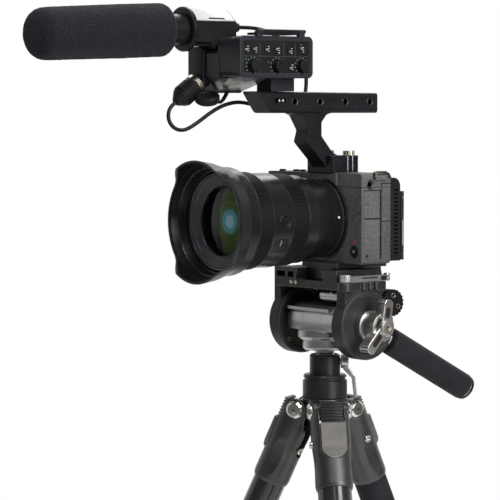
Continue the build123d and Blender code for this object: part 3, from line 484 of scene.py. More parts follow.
bodyGrey = coatedFinish("bodyGrey", (0.074, 0.072, 0.073), (0.5, 0.64), 430.0, 0.0003, 0.0010, 1.9,
                        speckle=0.6)
doorGrey = coatedFinish("doorGrey", (0.082, 0.079, 0.079), (0.5, 0.64), 430.0, 0.0003, 0.0007, 2.2,
                        speckle=0.6)
ventBlack = coatedFinish("ventBlack", (0.008, 0.008, 0.010), (0.4, 0.54), 1300.0, 0.00008, 0.0008, 2.0)
screenBlack = coatedFinish("screenBlack", (0.008, 0.008, 0.011), (0.34, 0.46), 1500.0, 0.00004, 0.0008, 2.0)
buttonBronze = metalFinish("buttonBronze", (0.30, 0.22, 0.15), (0.26, 0.42), tiltAxis, acrossX)
plateSteel = metalFinish("plateSteel", (0.56, 0.55, 0.54), (0.24, 0.38), panAxis)
boardGreen = boardFinish("boardGreen")
lensBlack = coatedFinish("lensBlack", (0.006, 0.006, 0.007), (0.22, 0.34), 1700.0, 0.00003, 0.0006, 2.0,
                         gloss=0.34)
ringRubber = coatedFinish("ringRubber", (0.006, 0.006, 0.007), (0.5, 0.66), 1600.0, 0.00004, 0.0003)
hoodBlack = coatedFinish("hoodBlack", (0.006, 0.006, 0.007), (0.24, 0.36), 1600.0, 0.00004, 0.0006, gloss=0.3)
handleBlack = coatedFinish("handleBlack", (0.007, 0.007, 0.009), (0.33, 0.47), 1300.0, 0.00005, 0.0009, 2.6)
audioBlack = coatedFinish("audioBlack", (0.016, 0.017, 0.021), (0.34, 0.48), 1300.0, 0.00005, 0.0008, 2.4)
knobBlack = coatedFinish("knobBlack", (0.007, 0.007, 0.008), (0.3, 0.44), 1500.0, 0.00004, 0.0005, 2.0)
foamBlack = foamFinish("foamBlack")
micBlack = coatedFinish("micBlack", (0.008, 0.008, 0.009), (0.3, 0.45), 1500.0, 0.00004, 0.0005)
clampPlastic = coatedFinish("clampPlastic", (0.006, 0.006, 0.007), (0.3, 0.46), 1300.0, 0.00004, 0.0009, 2.0)
cableBlack = coatedFinish("cableBlack", (0.007, 0.007, 0.008), (0.3, 0.42), 1500.0, 0.00003, 0.0002)
casting = coatedFinish("casting", (0.078, 0.076, 0.074), (0.36, 0.48), 1500.0, 0.00004, 0.0011, 2.2, 0.9)
lockRubber = coatedFinish("lockRubber", (0.012, 0.012, 0.013), (0.6, 0.75), 1200.0, 0.00008, 0.0006)
boltChrome = metalFinish("boltChrome", (0.62, 0.60, 0.57), (0.12, 0.24), panAxis, pitch=900.0)
cupBlack = coatedFinish("cupBlack", (0.040, 0.039, 0.037), (0.3, 0.44), 1500.0, 0.00004, 0.0007, 2.0, 0.7)
castSilver = metalFinish("castSilver", (0.48, 0.47, 0.46), (0.28, 0.4), tiltAxis, acrossX, 1400.0, 0.00003,
                         0.0012)
headGrey = coatedFinish("headGrey", (0.033, 0.031, 0.029), (0.36, 0.5), 1500.0, 0.00006, 0.0013, 3.2, 0.4)
drumGrey = metalFinish("drumGrey", (0.42, 0.41, 0.40), (0.26, 0.38), tiltAxis, acrossX, 1500.0, 0.00003,
                       0.0008)
deckBlack = coatedFinish("deckBlack", (0.047, 0.047, 0.047), (0.3, 0.44), 1500.0, 0.00005, 0.0012, 3.0, 0.7)
gripRubber = coatedFinish("gripRubber", (0.011, 0.011, 0.014), (0.62, 0.76), 1500.0, 0.00010, 0.0008)
bootBlack = coatedFinish("bootBlack", (0.008, 0.008, 0.009), (0.4, 0.56), 1300.0, 0.00005, 0.0006)
insertAndShadeDark = metalFinish("insertAndShadeDark", (0.085, 0.075, 0.062), (0.3, 0.42), panAxis)
ringBlue = metalFinish("ringBlue", (0.16, 0.17, 0.19), (0.16, 0.26), lensAxis, acrossY)
screwNickel = metalFinish("screwNickel", (0.44, 0.40, 0.33), (0.22, 0.36), panAxis)
legTubes = {
    side: carbonFinish(side + "TubeCarbon", spot(0, 0, 507.1), (radians(24.5), 0.0, radians(turn)))
    for side, turn in (("left", -120.0), ("right", 120.0), ("rear", 0.0))
}
glassClear = clearFinish("glassClear", (0.90, 0.95, 0.93), (0.0, 0.03), 1.15)

slotFinish = {
    "body_grey": bodyGrey, "vent_black": ventBlack, "door_grey": doorGrey, "screen_black": screenBlack,
    "button_bronze": buttonBronze, "steel": plateSteel, "board_green": boardGreen, "lens_black": lensBlack,
    "ring_rubber": ringRubber, "glass": glassClear, "hood_black": hoodBlack, "handle_black": handleBlack,
    "audio_black": audioBlack, "knob_black": knobBlack, "foam": foamBlack, "mic_black": micBlack,
    "clamp_plastic": clampPlastic, "cable_black": cableBlack, "carbon": legTubes["rear"], "casting": casting,
    "lock_rubber": lockRubber, "chrome": boltChrome, "cup_black": cupBlack, "silver": castSilver,
    "head_grey": headGrey, "drum_grey": drumGrey, "deck_black": deckBlack, "grip_rubber": gripRubber,
    "boot_black": bootBlack,
}
for node in nodes.values():
    for holder in node.material_slots:
        label = holder.material.name.split(".")[0]
        if label in slotFinish:
            holder.material = slotFinish[label]
        else:
            print("no finish for", node.name, label)
print("finishes made")

# microphone cable, on the route's own points
cableRoute = {
    "thick": 3.4,
    "length": 290.5,
    "points": [
        (-22.0, -80.0, 839.9), (-22.0, -66.0, 840.3), (-22.3, -48.0, 837.8), (-23.0, -30.0, 830.6),
        (-24.0, -12.0, 819.6), (-24.6, -1.5, 804.1), (-24.8, -1.5, 786.1), (-24.6, -5.5, 774.1),
        (-24.5, -17.0, 768.1), (-24.4, -33.0, 768.1), (-24.4, -52.0, 771.6), (-24.6, -74.0, 776.6),
        (-25.4, -90.5, 774.1), (-26.6, -104.4, 767.6), (-28.0, -116.0, 759.6), (-29.2, -128.1, 752.6),
        (-30.2, -136.1, 751.9), (-31.0, -141.9, 754.6), (-31.6, -145.6, 759.8), (-32.0, -146.1, 766.2),
        (-32.0, -143.5, 772.1), (-32.0, -138.2, 775.75),
    ],
}
cableLine = bpy.data.curves.new("micCable", "CURVE")
cableLine.dimensions = "3D"
cableLine.bevel_depth = cableRoute["thick"] / 2000
cableLine.bevel_resolution = 6
cableLine.resolution_u = 10
cableLine.use_fill_caps = True
cableSpline = cableLine.splines.new("NURBS")
cableSpline.points.add(len(cableRoute["points"]) - 1)
for point, place in zip(cableSpline.points, cableRoute["points"]):
    point.co = (*spot(*place), 1.0)
cableSpline.order_u = 3
cableSpline.use_endpoint_u = True
cableLine.materials.append(cableBlack)
micCable = bpy.data.objects.new("micCable", cableLine)
bpy.context.collection.objects.link(micCable)
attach(micCable, "camera")
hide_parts("mic_cable")
print("cable made")


# microphone axis: height runs to the rear from the clamp's middle
micPitch = radians(2.6)
micAxis = Vector((0.0, cos(micPitch), sin(micPitch)))
micFrame = along(spot(-22.0, -120.0, 838.1), micAxis)


# foam windscreen: a turned sleeve with a blunt rounded nose, slimmer towards it, and an uneven skin
def makeWindscreen():
    sizes = {
        "front": -170.0, "rear": -37.5, "radius": 22.7, "slim": 1.0, "full": 85.0, "nose": 13.0, "tail": 5.0,
        "bore": (13.3, 4.0), "swell": 0.3, "sink": 0.3, "lumps": (380, 1200),
    }
    front, rear, radius = sizes["front"], sizes["rear"], sizes["radius"]
    nose, tail, slim = sizes["nose"], sizes["tail"], sizes["slim"]
    bore, depth = sizes["bore"]
    profile = [(r, front) for r in (0.0, 2.4, 4.8, 7.2)]
    for n in range(1, 15):
        bend = radians(90 * n / 14)
        profile.append((radius - slim - nose * (1 - sin(bend)), front + nose * (1 - cos(bend))))
    for n in range(1, 51):
        reach = nose + (rear - front - nose - tail) * n / 50
        profile.append((radius - slim * max(0.0, 1 - reach / sizes["full"]), front + reach))
    for n in range(1, 9):
        bend = radians(90 * n / 8)
        profile.append((radius - tail * (1 - cos(bend)), rear - tail * (1 - sin(bend))))
    profile += [(bore, rear), (bore, rear - depth), (0.0, rear - depth)]
    bm = bmesh.new()
    addTurned(bm, profile, micFrame, 128)
    middle = micFrame.translation
    coarse, fine = sizes["lumps"]
    for corner in bm.verts:
        swell = noise.noise(corner.co * coarse) + 0.6 * noise.noise(corner.co * fine)
        out = corner.co - (middle + micAxis * (corner.co - middle).dot(micAxis))
        if out.length > 0.0001:
            corner.co += out.normalized() * (swell * sizes["swell"] - sizes["sink"]) / 1000
    piece = makePiece(bm, "foamWindscreen", foamBlack, "camera", 60)
    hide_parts("windscreen")


makeWindscreen()
print("windscreen made")


# a ring of teeth about an axis: ribs, knurls and ticks
def buildToothTree():
    tree, given, result = newGroup(
        "toothRing",
        [("Geometry", "Geometry"), ("Count", "Int"), ("Radius", "Float"), ("Tooth", "Vector"),
         ("Turn", "Vector"), ("Place", "Vector"), ("Finish", "Material")],
        [("Geometry", "Geometry")], "GeometryNodeTree",
    )
    circle = tree.nodes.new("GeometryNodeMeshCircle")
    tooth = tree.nodes.new("GeometryNodeMeshCube")
    aim = tree.nodes.new("FunctionNodeAlignRotationToVector")
    aim.axis = "X"
    aim.pivot_axis = "Z"
    position = tree.nodes.new("GeometryNodeInputPosition")
    instances = tree.nodes.new("GeometryNodeInstanceOnPoints")
    turned = tree.nodes.new("GeometryNodeTransform")
    shifted = tree.nodes.new("GeometryNodeTransform")
    realize = tree.nodes.new("GeometryNodeRealizeInstances")
    painted = tree.nodes.new("GeometryNodeSetMaterial")
    wire(
        tree, (given.outputs["Count"], circle.inputs["Vertices"]),
        (given.outputs["Radius"], circle.inputs["Radius"]),
        (given.outputs["Tooth"], tooth.inputs["Size"]), (position.outputs["Position"], aim.inputs["Vector"]),
        (circle.outputs["Mesh"], instances.inputs["Points"]),
        (tooth.outputs["Mesh"], instances.inputs["Instance"]),
        (aim.outputs["Rotation"], instances.inputs["Rotation"]),
        (instances.outputs["Instances"], turned.inputs["Geometry"]),
        (given.outputs["Turn"], turned.inputs["Rotation"]),
        (turned.outputs["Geometry"], shifted.inputs["Geometry"]),
        (given.outputs["Place"], shifted.inputs["Translation"]),
        (shifted.outputs["Geometry"], realize.inputs["Geometry"]),
        (realize.outputs["Geometry"], painted.inputs["Geometry"]),
        (given.outputs["Finish"], painted.inputs["Material"]),
        (painted.outputs["Geometry"], result.inputs["Geometry"]),
    )
    return tree


# an item repeated at the points of a small mesh: screws, switches, dots
def buildSpotTree():
    tree, given, result = newGroup(
        "itemSpots",
        [("Geometry", "Geometry"), ("Item", "Object"), ("Turn", "Vector"), ("Size", "Float"),
         ("Finish", "Material")],
        [("Geometry", "Geometry")], "GeometryNodeTree",
    )
    item = tree.nodes.new("GeometryNodeObjectInfo")
    turn = tree.nodes.new("FunctionNodeEulerToRotation")
    instances = tree.nodes.new("GeometryNodeInstanceOnPoints")
    realize = tree.nodes.new("GeometryNodeRealizeInstances")
    painted = tree.nodes.new("GeometryNodeSetMaterial")
    wire(
        tree, (given.outputs["Geometry"], instances.inputs["Points"]),
        (given.outputs["Item"], item.inputs["Object"]),
        (item.outputs["Geometry"], instances.inputs["Instance"]),
        (given.outputs["Turn"], turn.inputs["Euler"]),
        (turn.outputs["Rotation"], instances.inputs["Rotation"]),
        (given.outputs["Size"], instances.inputs["Scale"]),
        (instances.outputs["Instances"], realize.inputs["Geometry"]),
        (realize.outputs["Geometry"], painted.inputs["Geometry"]),
        (given.outputs["Finish"], painted.inputs["Material"]),
        (painted.outputs["Geometry"], result.inputs["Geometry"]),
    )
    return tree


toothTree = buildToothTree()
spotTree = buildSpotTree()


# the tree's result as a plain mesh
def grow(tree, name, start, values, body):
    holder = bpy.data.objects.new(name + "Source", start)
    bpy.context.collection.objects.link(holder)
    modifier = holder.modifiers.new(name, "NODES")
    modifier.node_group = tree
    for socket in tree.interface.items_tree:
        if socket.in_out == "INPUT" and socket.name in values:
            modifier[socket.identifier] = values[socket.name]
    bpy.context.view_layer.update()
    view = bpy.context.evaluated_depsgraph_get()
    mesh = bpy.data.meshes.new_from_object(holder.evaluated_get(view), depsgraph=view)
    mesh.name = name
    bpy.data.objects.remove(holder)
    return placePiece(mesh, name, values["Finish"], body)


def toothRing(name, count, radius, tooth, turn, place, finish, body):
    values = {
        "Count": count, "Radius": radius / 1000, "Tooth": [side / 1000 for side in tooth],
        "Turn": list(turn), "Place": list(place), "Finish": finish,
    }
    return grow(toothTree, name, bpy.data.meshes.new(name + "Start"), values, body)


# small items, kept only while they are copied
def repeatItem(name, fill, places, turn, finish, body, size=1.0):
    bm = bmesh.new()
    fill(bm)
    item = bpy.data.objects.new("borrowedItem", closeMesh(bm, "borrowedItem"))
    bpy.context.collection.objects.link(item)
    start = bpy.data.meshes.new(name + "Start")
    start.from_pydata([tuple(place) for place in places], [], [])
    values = {"Item": item, "Turn": list(turn), "Size": size, "Finish": finish}
    piece = grow(spotTree, name, start, values, body)
    bpy.data.objects.remove(item)
    return piece


def turnedItem(profile, segments=24, closed=False):
    return lambda bm: addTurned(bm, profile, Matrix.Identity(4), segments, closed)


def blockItem(size, bevel):
    half = Vector(size) / 2
    return lambda bm: addBlock(bm, -half, half, bevel, place=Matrix.Identity(4))


# a socket screw, head up its own Z, one millimetre in radius
socketScrew = turnedItem(
    [(0.0, -0.1), (0.48, -0.1), (0.5, 0.42), (0.86, 0.5), (1.0, 0.36), (1.0, -0.3), (0.0, -0.3)], 18
)
upright = (0.0, 0.0, 0.0)
facesLeft = (0.0, radians(90), 0.0)
facesRight = (0.0, radians(-90), 0.0)
facesFront = (radians(90), 0.0, 0.0)
facesRear = (radians(-90), 0.0, 0.0)

# a plate drawn in Y and Z, thick along X
sideways = Matrix(((0, 0, 1, 0), (1, 0, 0, 0), (0, 1, 0, 0), (0, 0, 0, 1)))


# finely ribbed focus and zoom rings
def makeRibbedRing(label, sizes):
    node = label + "_ring"
    low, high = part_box(node)
    centre = Vector((0.0, low.y, lensAxis.z))
    length = (high.y - low.y) * 1000
    outer = (high.x - low.x) * 500
    inner, rib, edge = sizes["inner"], sizes["rib"], sizes["edge"]
    bed = outer - rib
    profile = [
        (inner, 0.0), (outer - 0.5, 0.0), (outer, 0.5), (outer, edge), (bed, edge + 0.3),
        (bed, length - edge - 0.3), (outer, length - edge), (outer, length - 0.5), (outer - 0.5, length),
        (inner, length),
    ]
    base = makeTurned(label + "RingBase", profile, along(centre, (0, 1, 0)), 160, ringRubber, label,
                      True, 25)
    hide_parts(node)
    toothRing(
        label + "RingRibs", sizes["count"], bed + rib / 2 - 0.05,
        (rib + 0.1, sizes["width"], length - 2 * edge - 0.2), facesFront,
        centre + Vector((0.0, length / 2000, 0.0)), ringRubber, label,
    )


makeRibbedRing("focus", {"inner": 36.2, "rib": 0.9, "edge": 1.2, "count": 200, "width": 0.62})
makeRibbedRing("zoom", {"inner": 36.2, "rib": 0.9, "edge": 1.4, "count": 190, "width": 0.62})
print("lens rings made")


# glass: a clear front element over an inner group painted with a coloured painted reflection
def makeGlass():
    sizes = {"radius": 30.6, "sphere": 110.0, "centre": -6.6, "steps": 22, "thick": 4.0, "thin": 2.2,
             "bowl": 30.0, "gap": 5.0, "dish": 2.0, "tip": 6.0, "back": 11.0, "reflectionCentre": 0.0035, "edge": -0.46}
    reach, thick, bowl = sizes["radius"], sizes["thick"], sizes["bowl"]
    outside = []
    for n in range(sizes["steps"] + 1):
        r = reach * n / sizes["steps"]
        outside.append((r, sizes["centre"] - (sizes["sphere"] ** 2 - r * r) ** 0.5))
    rim = outside[-1][1]
    profile = outside + [(reach, rim + sizes["thin"])]
    profile += [(r, h + thick - (thick - sizes["thin"]) * (r / reach) ** 2) for r, h in reversed(outside)]
    front = makeTurned("frontGlass", profile, lensLine, 96, glassClear, "camera", sharp=40)
    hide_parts("optics")
    inside = [(0.0, rim + sizes["tip"])]
    for n in range(1, 15):
        r = bowl * n / 14
        inside.append((r, rim + sizes["gap"] + sizes["dish"] * (r / bowl) ** 2))
    inside += [(bowl, rim + sizes["back"]), (0.0, rim + sizes["back"])]
    # the inner element's colour is a painted reflection
    reflectionPaint = paintedReflectionFinish("lensPaintedReflection", (sizes["reflectionCentre"], 0.0, lensAxis.z), bowl / 1000, sizes["edge"])
    makeTurned("coatedElement", inside, lensLine, 96, reflectionPaint, "camera", sharp=40)


makeGlass()
print("glass made")


# printed marks, seams and bare panel faces: one thin, even coat
def markFinish(name, colour, rough, depth=0.00002):
    return coatedFinish(name, colour, rough, 1500.0, depth, 0.0001, 1.0)


markWhite = markFinish("markWhite", (0.62, 0.62, 0.60), (0.5, 0.6))
markRed = markFinish("markRed", (0.42, 0.03, 0.02), (0.4, 0.5))
markGreen = markFinish("markGreen", (0.02, 0.20, 0.11), (0.3, 0.4))
lineGrey = markFinish("lineGrey", (0.22, 0.22, 0.23), (0.4, 0.5))
seamAndShadeBlack = markFinish("seamAndShadeBlack", (0.006, 0.006, 0.006), (0.6, 0.8))
panelBlack = markFinish("panelBlack", (0.0045, 0.0045, 0.0055), (0.4, 0.55), 0.00003)
panelGrey = markFinish("panelGrey", (0.055, 0.055, 0.058), (0.4, 0.55), 0.00003)


# input panel: black face, slide switches, dividing lines, lamps and ticks round the dials
def makeInputPanel():
    sizes = {
        "face": 24.8, "y": (-107.2, -41.8), "z": (802.9, 824.8), "corner": 2.4, "plate": 0.23,
        "bezel": (0.7, 3.6, 5.4), "thumb": (1.7, 1.8, 1.7), "lamp": (0.3, 1.5, 0.9), "tick": (0.1, 1.5, 0.45),
        "throw": 0.9, "tickRows": (1.7, -0.2, -2.1), "tickAside": 3.0, "line": (-0.1, 0.08),
        "standOff": {"plate": -0.2, "bezel": 0.3, "thumb": 0.9, "lamp": 0.1, "tick": 0.04},
        "switches": [(-107.4, 820.9), (-98.6, 819.6), (-85.4, 820.9), (-74.4, 819.6), (-60.4, 819.4),
                     (-48.0, 820.6), (-59.6, 805.6)],
        "lamps": [(-95.2, 817.6), (-70.9, 816.6), (-106.8, 811.9), (-82.7, 809.4), (-47.6, 824.4)],
        "dials": [(-99.4, 806.3), (-73.2, 806.3), (-46.8, 806.3)], "dialTick": (0.9, 0.3, 0.12),
        "dialReach": 6.9,
        "lines": [((-91.8, -91.4), (801.2, 826.4)), ((-66.4, -66.0), (801.2, 826.4)),
                  ((-53.9, -53.5), (813.5, 826.4)), ((-109.4, -39.6), (814.2, 814.55))],
    }
    face, corner, switches = sizes["face"], sizes["corner"], sizes["switches"]
    level = {item: face + off for item, off in sizes["standOff"].items()}
    (y0, y1), (z0, z1) = sizes["y"], sizes["z"]
    outline = []
    for y, z, start in ((y1, z1, 0), (y0, z1, 90), (y0, z0, 180), (y1, z0, 270)):
        for n in range(7):
            turn = radians(start + 15 * n)
            outline.append((y + corner * cos(turn), z + corner * sin(turn)))
    bm = bmesh.new()
    addPlate(bm, outline, Matrix.Translation(spot(level["plate"], 0, 0)) @ sideways, sizes["plate"])
    makePiece(bm, "panelPlate", panelBlack, "camera")
    thumbs = [
        spot(level["thumb"], y, z + sizes["throw"] * (1 if n % 2 else -1))
        for n, (y, z) in enumerate(switches)
    ]
    ticks = [
        spot(level["tick"], y + sizes["tickAside"], z + row)
        for y, z in switches for row in sizes["tickRows"]
    ]
    bezels = [spot(level["bezel"], y, z) for y, z in switches]
    lamps = [spot(level["lamp"], y, z) for y, z in sizes["lamps"]]
    for name, item, bevel, places, finish, slotName in (
        ("switchBezels", "bezel", 0.25, bezels, seamAndShadeBlack, "audio_black"),
        ("switchThumbs", "thumb", 0.3, thumbs, lineGrey, "knob_black"),
        ("panelLamps", "lamp", 0.12, lamps, markGreen, "audio_black"),
        ("switchTicks", "tick", 0.04, ticks, markWhite, "audio_black"),
    ):
        repeatItem(name, blockItem(sizes[item], bevel), places, upright, finish, "camera")
    x0, x1 = [face + off for off in sizes["line"]]
    lines = [((x0, y0, z0), (x1, y1, z1)) for (y0, y1), (z0, z1) in sizes["lines"]]
    makeBlocks("panelLines", lines, 0.04, panelGrey, "camera", 1)
    for n, (y, z) in enumerate(sizes["dials"]):
        toothRing("dialTicks" + str(n + 1), 13, sizes["dialReach"], sizes["dialTick"], facesLeft,
                  spot(level["tick"], y, z), markWhite, "camera")


makeInputPanel()


# microphone clamp: a round flange at the front and a sloping cap with a slot, the cap's black plastic painted
# pale as a painted reflection
def makeClampTrim():
    sizes = {
        "flange": (13.2, 19.0), "front": -19.5, "thick": 5.0, "round": 1.2, "ridge": (-19.0, -116.0, 855.1),
        "fall": (15.0, -12.0), "cap": ((-20.4, 0.9, -0.3), (20.4, 17.6, 1.0)),
        "slot": ((-6.0, 14.2, 0.6), (10.5, 16.4, 1.15)),
    }
    inner, outer = sizes["flange"]
    front, soft = sizes["front"], sizes["round"]
    back = front + sizes["thick"]
    profile = [(inner, front), (outer - soft, front), (outer, front + soft), (outer, back - soft),
               (outer - soft, back), (inner, back)]
    makeTurned("clampFlange", profile, micFrame, 96, clampPlastic, "camera", True)
    across, down = sizes["fall"]
    slope = Vector((across, 0.0, down)).normalized()
    flank = Matrix((Vector((0, 1, 0)), slope, Vector((-slope.z, 0.0, slope.x)))).transposed().to_4x4()
    flank = Matrix.Translation(spot(*sizes["ridge"])) @ flank
    # pale colour of the cap is a painted reflection
    capPaintedReflection = coatedFinish("capPaintedReflection", (0.44, 0.44, 0.45), (0.16, 0.3), 1500.0, 0.00002, 0.0004, 1.05)
    makeBlocks("clampCap", [sizes["cap"]], 0.5, capPaintedReflection, "camera", 3, flank)
    makeBlocks("clampSlot", [sizes["slot"]], 0.2, seamAndShadeBlack, "camera", 2, flank)


makeClampTrim()


# fairing under the audio unit, from the pod up to the main box, painted pale grey as a painted reflection of
# the floor
def makePodFairing():
    sizes = {"pod": (-23.2, 785.0), "box": (4.0, 796.3), "front": (-101.0, -108.0), "rear": (-74.0, -62.0),
             "face": ((-44.3, -116.4, 785.2), (-22.6, -113.4, 823.0))}
    # pale grey of the fairing is a painted reflection of the floor
    fairingPaintedReflection = coatedFinish("fairingPaintedReflection", (0.30, 0.285, 0.27), (0.22, 0.34), 1400.0, 0.00003, 0.0006,
                               1.2, 0.6)
    (x0, z0), (x1, z1) = sizes["pod"], sizes["box"]
    bm = bmesh.new()
    ends = []
    for low, high in (sizes["front"], sizes["rear"]):
        ends.append([bm.verts.new(spot(*place)) for place in ((x0, low, z0), (x0, high, z1), (x1, high, z1))])
    bm.faces.new(ends[0])
    bm.faces.new(ends[1])
    for n in range(3):
        m = (n + 1) % 3
        bm.faces.new((ends[0][n], ends[0][m], ends[1][m], ends[1][n]))
    softenEdges(bm, 0.6)
    makePiece(bm, "podFairing", fairingPaintedReflection, "camera")
    makeBlocks("podFace", [sizes["face"]], 1.2, clampPlastic, "camera", 3)


makePodFairing()


# dust cap that hangs beside the plug on a strap
def makeDustCap():
    sizes = {
        "radius": 10.2, "thick": 6.6, "ribs": 40, "place": (-18.0, -115.0, 776.0),
        "lean": (0.33, -0.26, 0.906),
        "strap": [(-18.0, -106.0, 776.5), (-19.0, -101.0, 775.2), (-20.4, -97.0, 777.4),
                  (-22.0, -92.6, 781.4), (-22.6, -89.6, 786.4)],
        "half": (2.1, 0.7),
    }
    capFrame = along(spot(*sizes["place"]), Vector(sizes["lean"]).normalized())
    radius, thick, strap = sizes["radius"], sizes["thick"], sizes["strap"]
    profile = [(0.0, thick - 1.2), (radius - 3.2, thick - 1.2), (radius - 2.6, thick), (radius - 0.6, thick),
               (radius, thick - 0.8), (radius, 0.8), (radius - 0.8, 0.0), (0.0, 0.0)]
    makeTurned("dustCap", profile, capFrame, 72, bootBlack, "camera")
    toothRing("dustCapRibs", sizes["ribs"], radius, (0.7, 0.7, thick - 2.0), capFrame.to_euler(),
              capFrame @ Vector((0.0, 0.0, thick / 2000)), bootBlack, "camera")
    halfWide, halfThick = sizes["half"]
    wide = Vector((halfWide / 1000, 0, 0))
    bm = bmesh.new()
    rings = []
    for n, point in enumerate(strap):
        run = Vector(strap[min(n + 1, len(strap) - 1)]) - Vector(strap[max(n - 1, 0)])
        lift = run.cross(Vector((1, 0, 0))).normalized() * halfThick / 1000
        middle = spot(*point)
        rings.append([
            bm.verts.new(middle + a * wide + b * lift) for a, b in ((1, 1), (1, -1), (-1, -1), (-1, 1))
        ])
    for lower, upper in zip(rings, rings[1:]):
        for n in range(4):
            bm.faces.new((lower[n], lower[n - 1], upper[n - 1], upper[n]))
    bm.faces.new(rings[0])
    bm.faces.new(rings[-1])
    makePiece(bm, "dustCapStrap", bootBlack, "camera", 60)


makeDustCap()


# plug trim: a bright ring at the socket and ribs along the boot
def makePlugTrim():
    sizes = {"root": (-32.0, -112.0, 794.1), "dip": 35, "inner": 8.9, "outer": 9.7, "long": 4.6,
             "ringAt": 4.5, "ribs": 26, "ribAt": 17.5, "ribReach": 9.3, "rib": (0.7, 0.9, 11.0)}
    dip = radians(sizes["dip"])
    run = Vector((0.0, -cos(dip), -sin(dip)))
    root = spot(*sizes["root"])
    inner, outer, long = sizes["inner"], sizes["outer"], sizes["long"]
    ring = [(inner, 0.0), (outer - 0.4, 0.0), (outer, 0.4), (outer, long - 0.4), (outer - 0.4, long),
            (inner, long)]
    makeTurned("plugRing", ring, along(root + run * sizes["ringAt"] / 1000, run), 72, screwNickel, "camera",
               True)
    toothRing("bootRibs", sizes["ribs"], sizes["ribReach"], sizes["rib"], along(root, run).to_euler(),
              root + run * sizes["ribAt"] / 1000, bootBlack, "camera")


makePlugTrim()


# casing trim: seams, rings round the holes, a screw, marks, a painted glint on the record button and a strap
# eye
def makeBodyTrim():
    sizes = {
        "flank": (54.2, 54.56), "seam": (702.7, 703.1), "seamSide": (-4.4, 28.0),
        "seamFront": ((24.0, 54.5), (-4.56, -4.2)), "threadAt": (54.5, 5.0, 705.2),
        "recordAt": (45.2, -4.5, 647.5), "markAt": (44.8, -4.5, 655.2), "glintAt": (44.7, -5.4, 647.6),
        "screwAt": (54.5, 1.6, 644.0), "screw": 1.3, "eyeAt": (51.0, 0, 0), "eyeThick": 6.2,
        "gaps": [((-1.5, 17.6), (699.7, 700.5)), ((17.0, 17.8), (640.9, 706.4)),
                 ((-1.5, 17.0), (675.35, 676.15)), ((17.6, 27.9), (673.2, 673.8)),
                 ((17.6, 27.9), (705.6, 706.4))],
        "threadRing": [(2.7, -0.2), (2.7, 0.25), (3.1, 0.45), (4.1, 0.45), (4.4, 0.2), (4.4, -0.2)],
        "recordRing": [(3.85, -0.2), (3.85, 0.5), (4.2, 0.8), (5.0, 0.8), (5.3, 0.4), (5.3, -0.2)],
        "recordMark": [(0.0, 0.12), (1.3, 0.12), (1.4, 0.0), (1.4, -0.1), (0.0, -0.1)],
        "recordGlint": [(0.0, 0.1), (1.2, 0.1), (1.3, 0.0), (1.3, -0.1), (0.0, -0.1)],
        "eye": [(7.5, 711.0), (9.5, 715.2), (13.0, 716.8), (21.0, 716.8), (25.0, 714.8), (27.4, 710.6),
                (24.0, 710.6), (20.5, 712.6), (13.0, 712.6), (10.5, 710.6)],
        "hingeStrip": ((52.7, 43.2, 652.0), (53.0, 44.4, 674.0)),
    }
    (x0, x1), (low, high) = sizes["flank"], sizes["seam"]
    (front, rear), ((left, right), (proud, deep)) = sizes["seamSide"], sizes["seamFront"]
    seams = [((x0, front, low), (x1, rear, high)), ((left, proud, low), (right, deep, high))]
    seams += [((x0, y0, z0), (x1, y1, z1)) for (y0, y1), (z0, z1) in sizes["gaps"]]
    makeBlocks("bodySeam", seams, 0.04, seamAndShadeBlack, "camera", 1)
    makeTurned("sideThreadRing", sizes["threadRing"], along(spot(*sizes["threadAt"]), (1, 0, 0)), 48,
               insertAndShadeDark, "camera", True)
    makeTurned("recordRing", sizes["recordRing"], along(spot(*sizes["recordAt"]), (0, -1, 0)), 48, knobBlack,
               "camera", True)
    nodes["rec_button"].material_slots[0].material = knobBlack
    repeatItem("recordMark", turnedItem(sizes["recordMark"], 20), [spot(*sizes["markAt"])], facesFront,
               markRed, "camera")
    # a painted glint on the record button's face
    repeatItem("recordGlint", turnedItem(sizes["recordGlint"], 20), [spot(*sizes["glintAt"])], facesFront,
               lineGrey, "rec")
    repeatItem("flankScrews", socketScrew, [spot(*sizes["screwAt"])], facesLeft, knobBlack, "camera",
               sizes["screw"])
    bm = bmesh.new()
    addPlate(bm, sizes["eye"], Matrix.Translation(spot(*sizes["eyeAt"])) @ sideways, sizes["eyeThick"])
    softenEdges(bm, 0.5)
    eyeBronze = metalFinish("eyeBronze", (0.10, 0.088, 0.070), (0.3, 0.44), panAxis)
    makePiece(bm, "strapEye", eyeBronze, "camera")
    makeBlocks("hingeStrip", [sizes["hingeStrip"]], 0.1, lineGrey, "screen", 1)


makeBodyTrim()


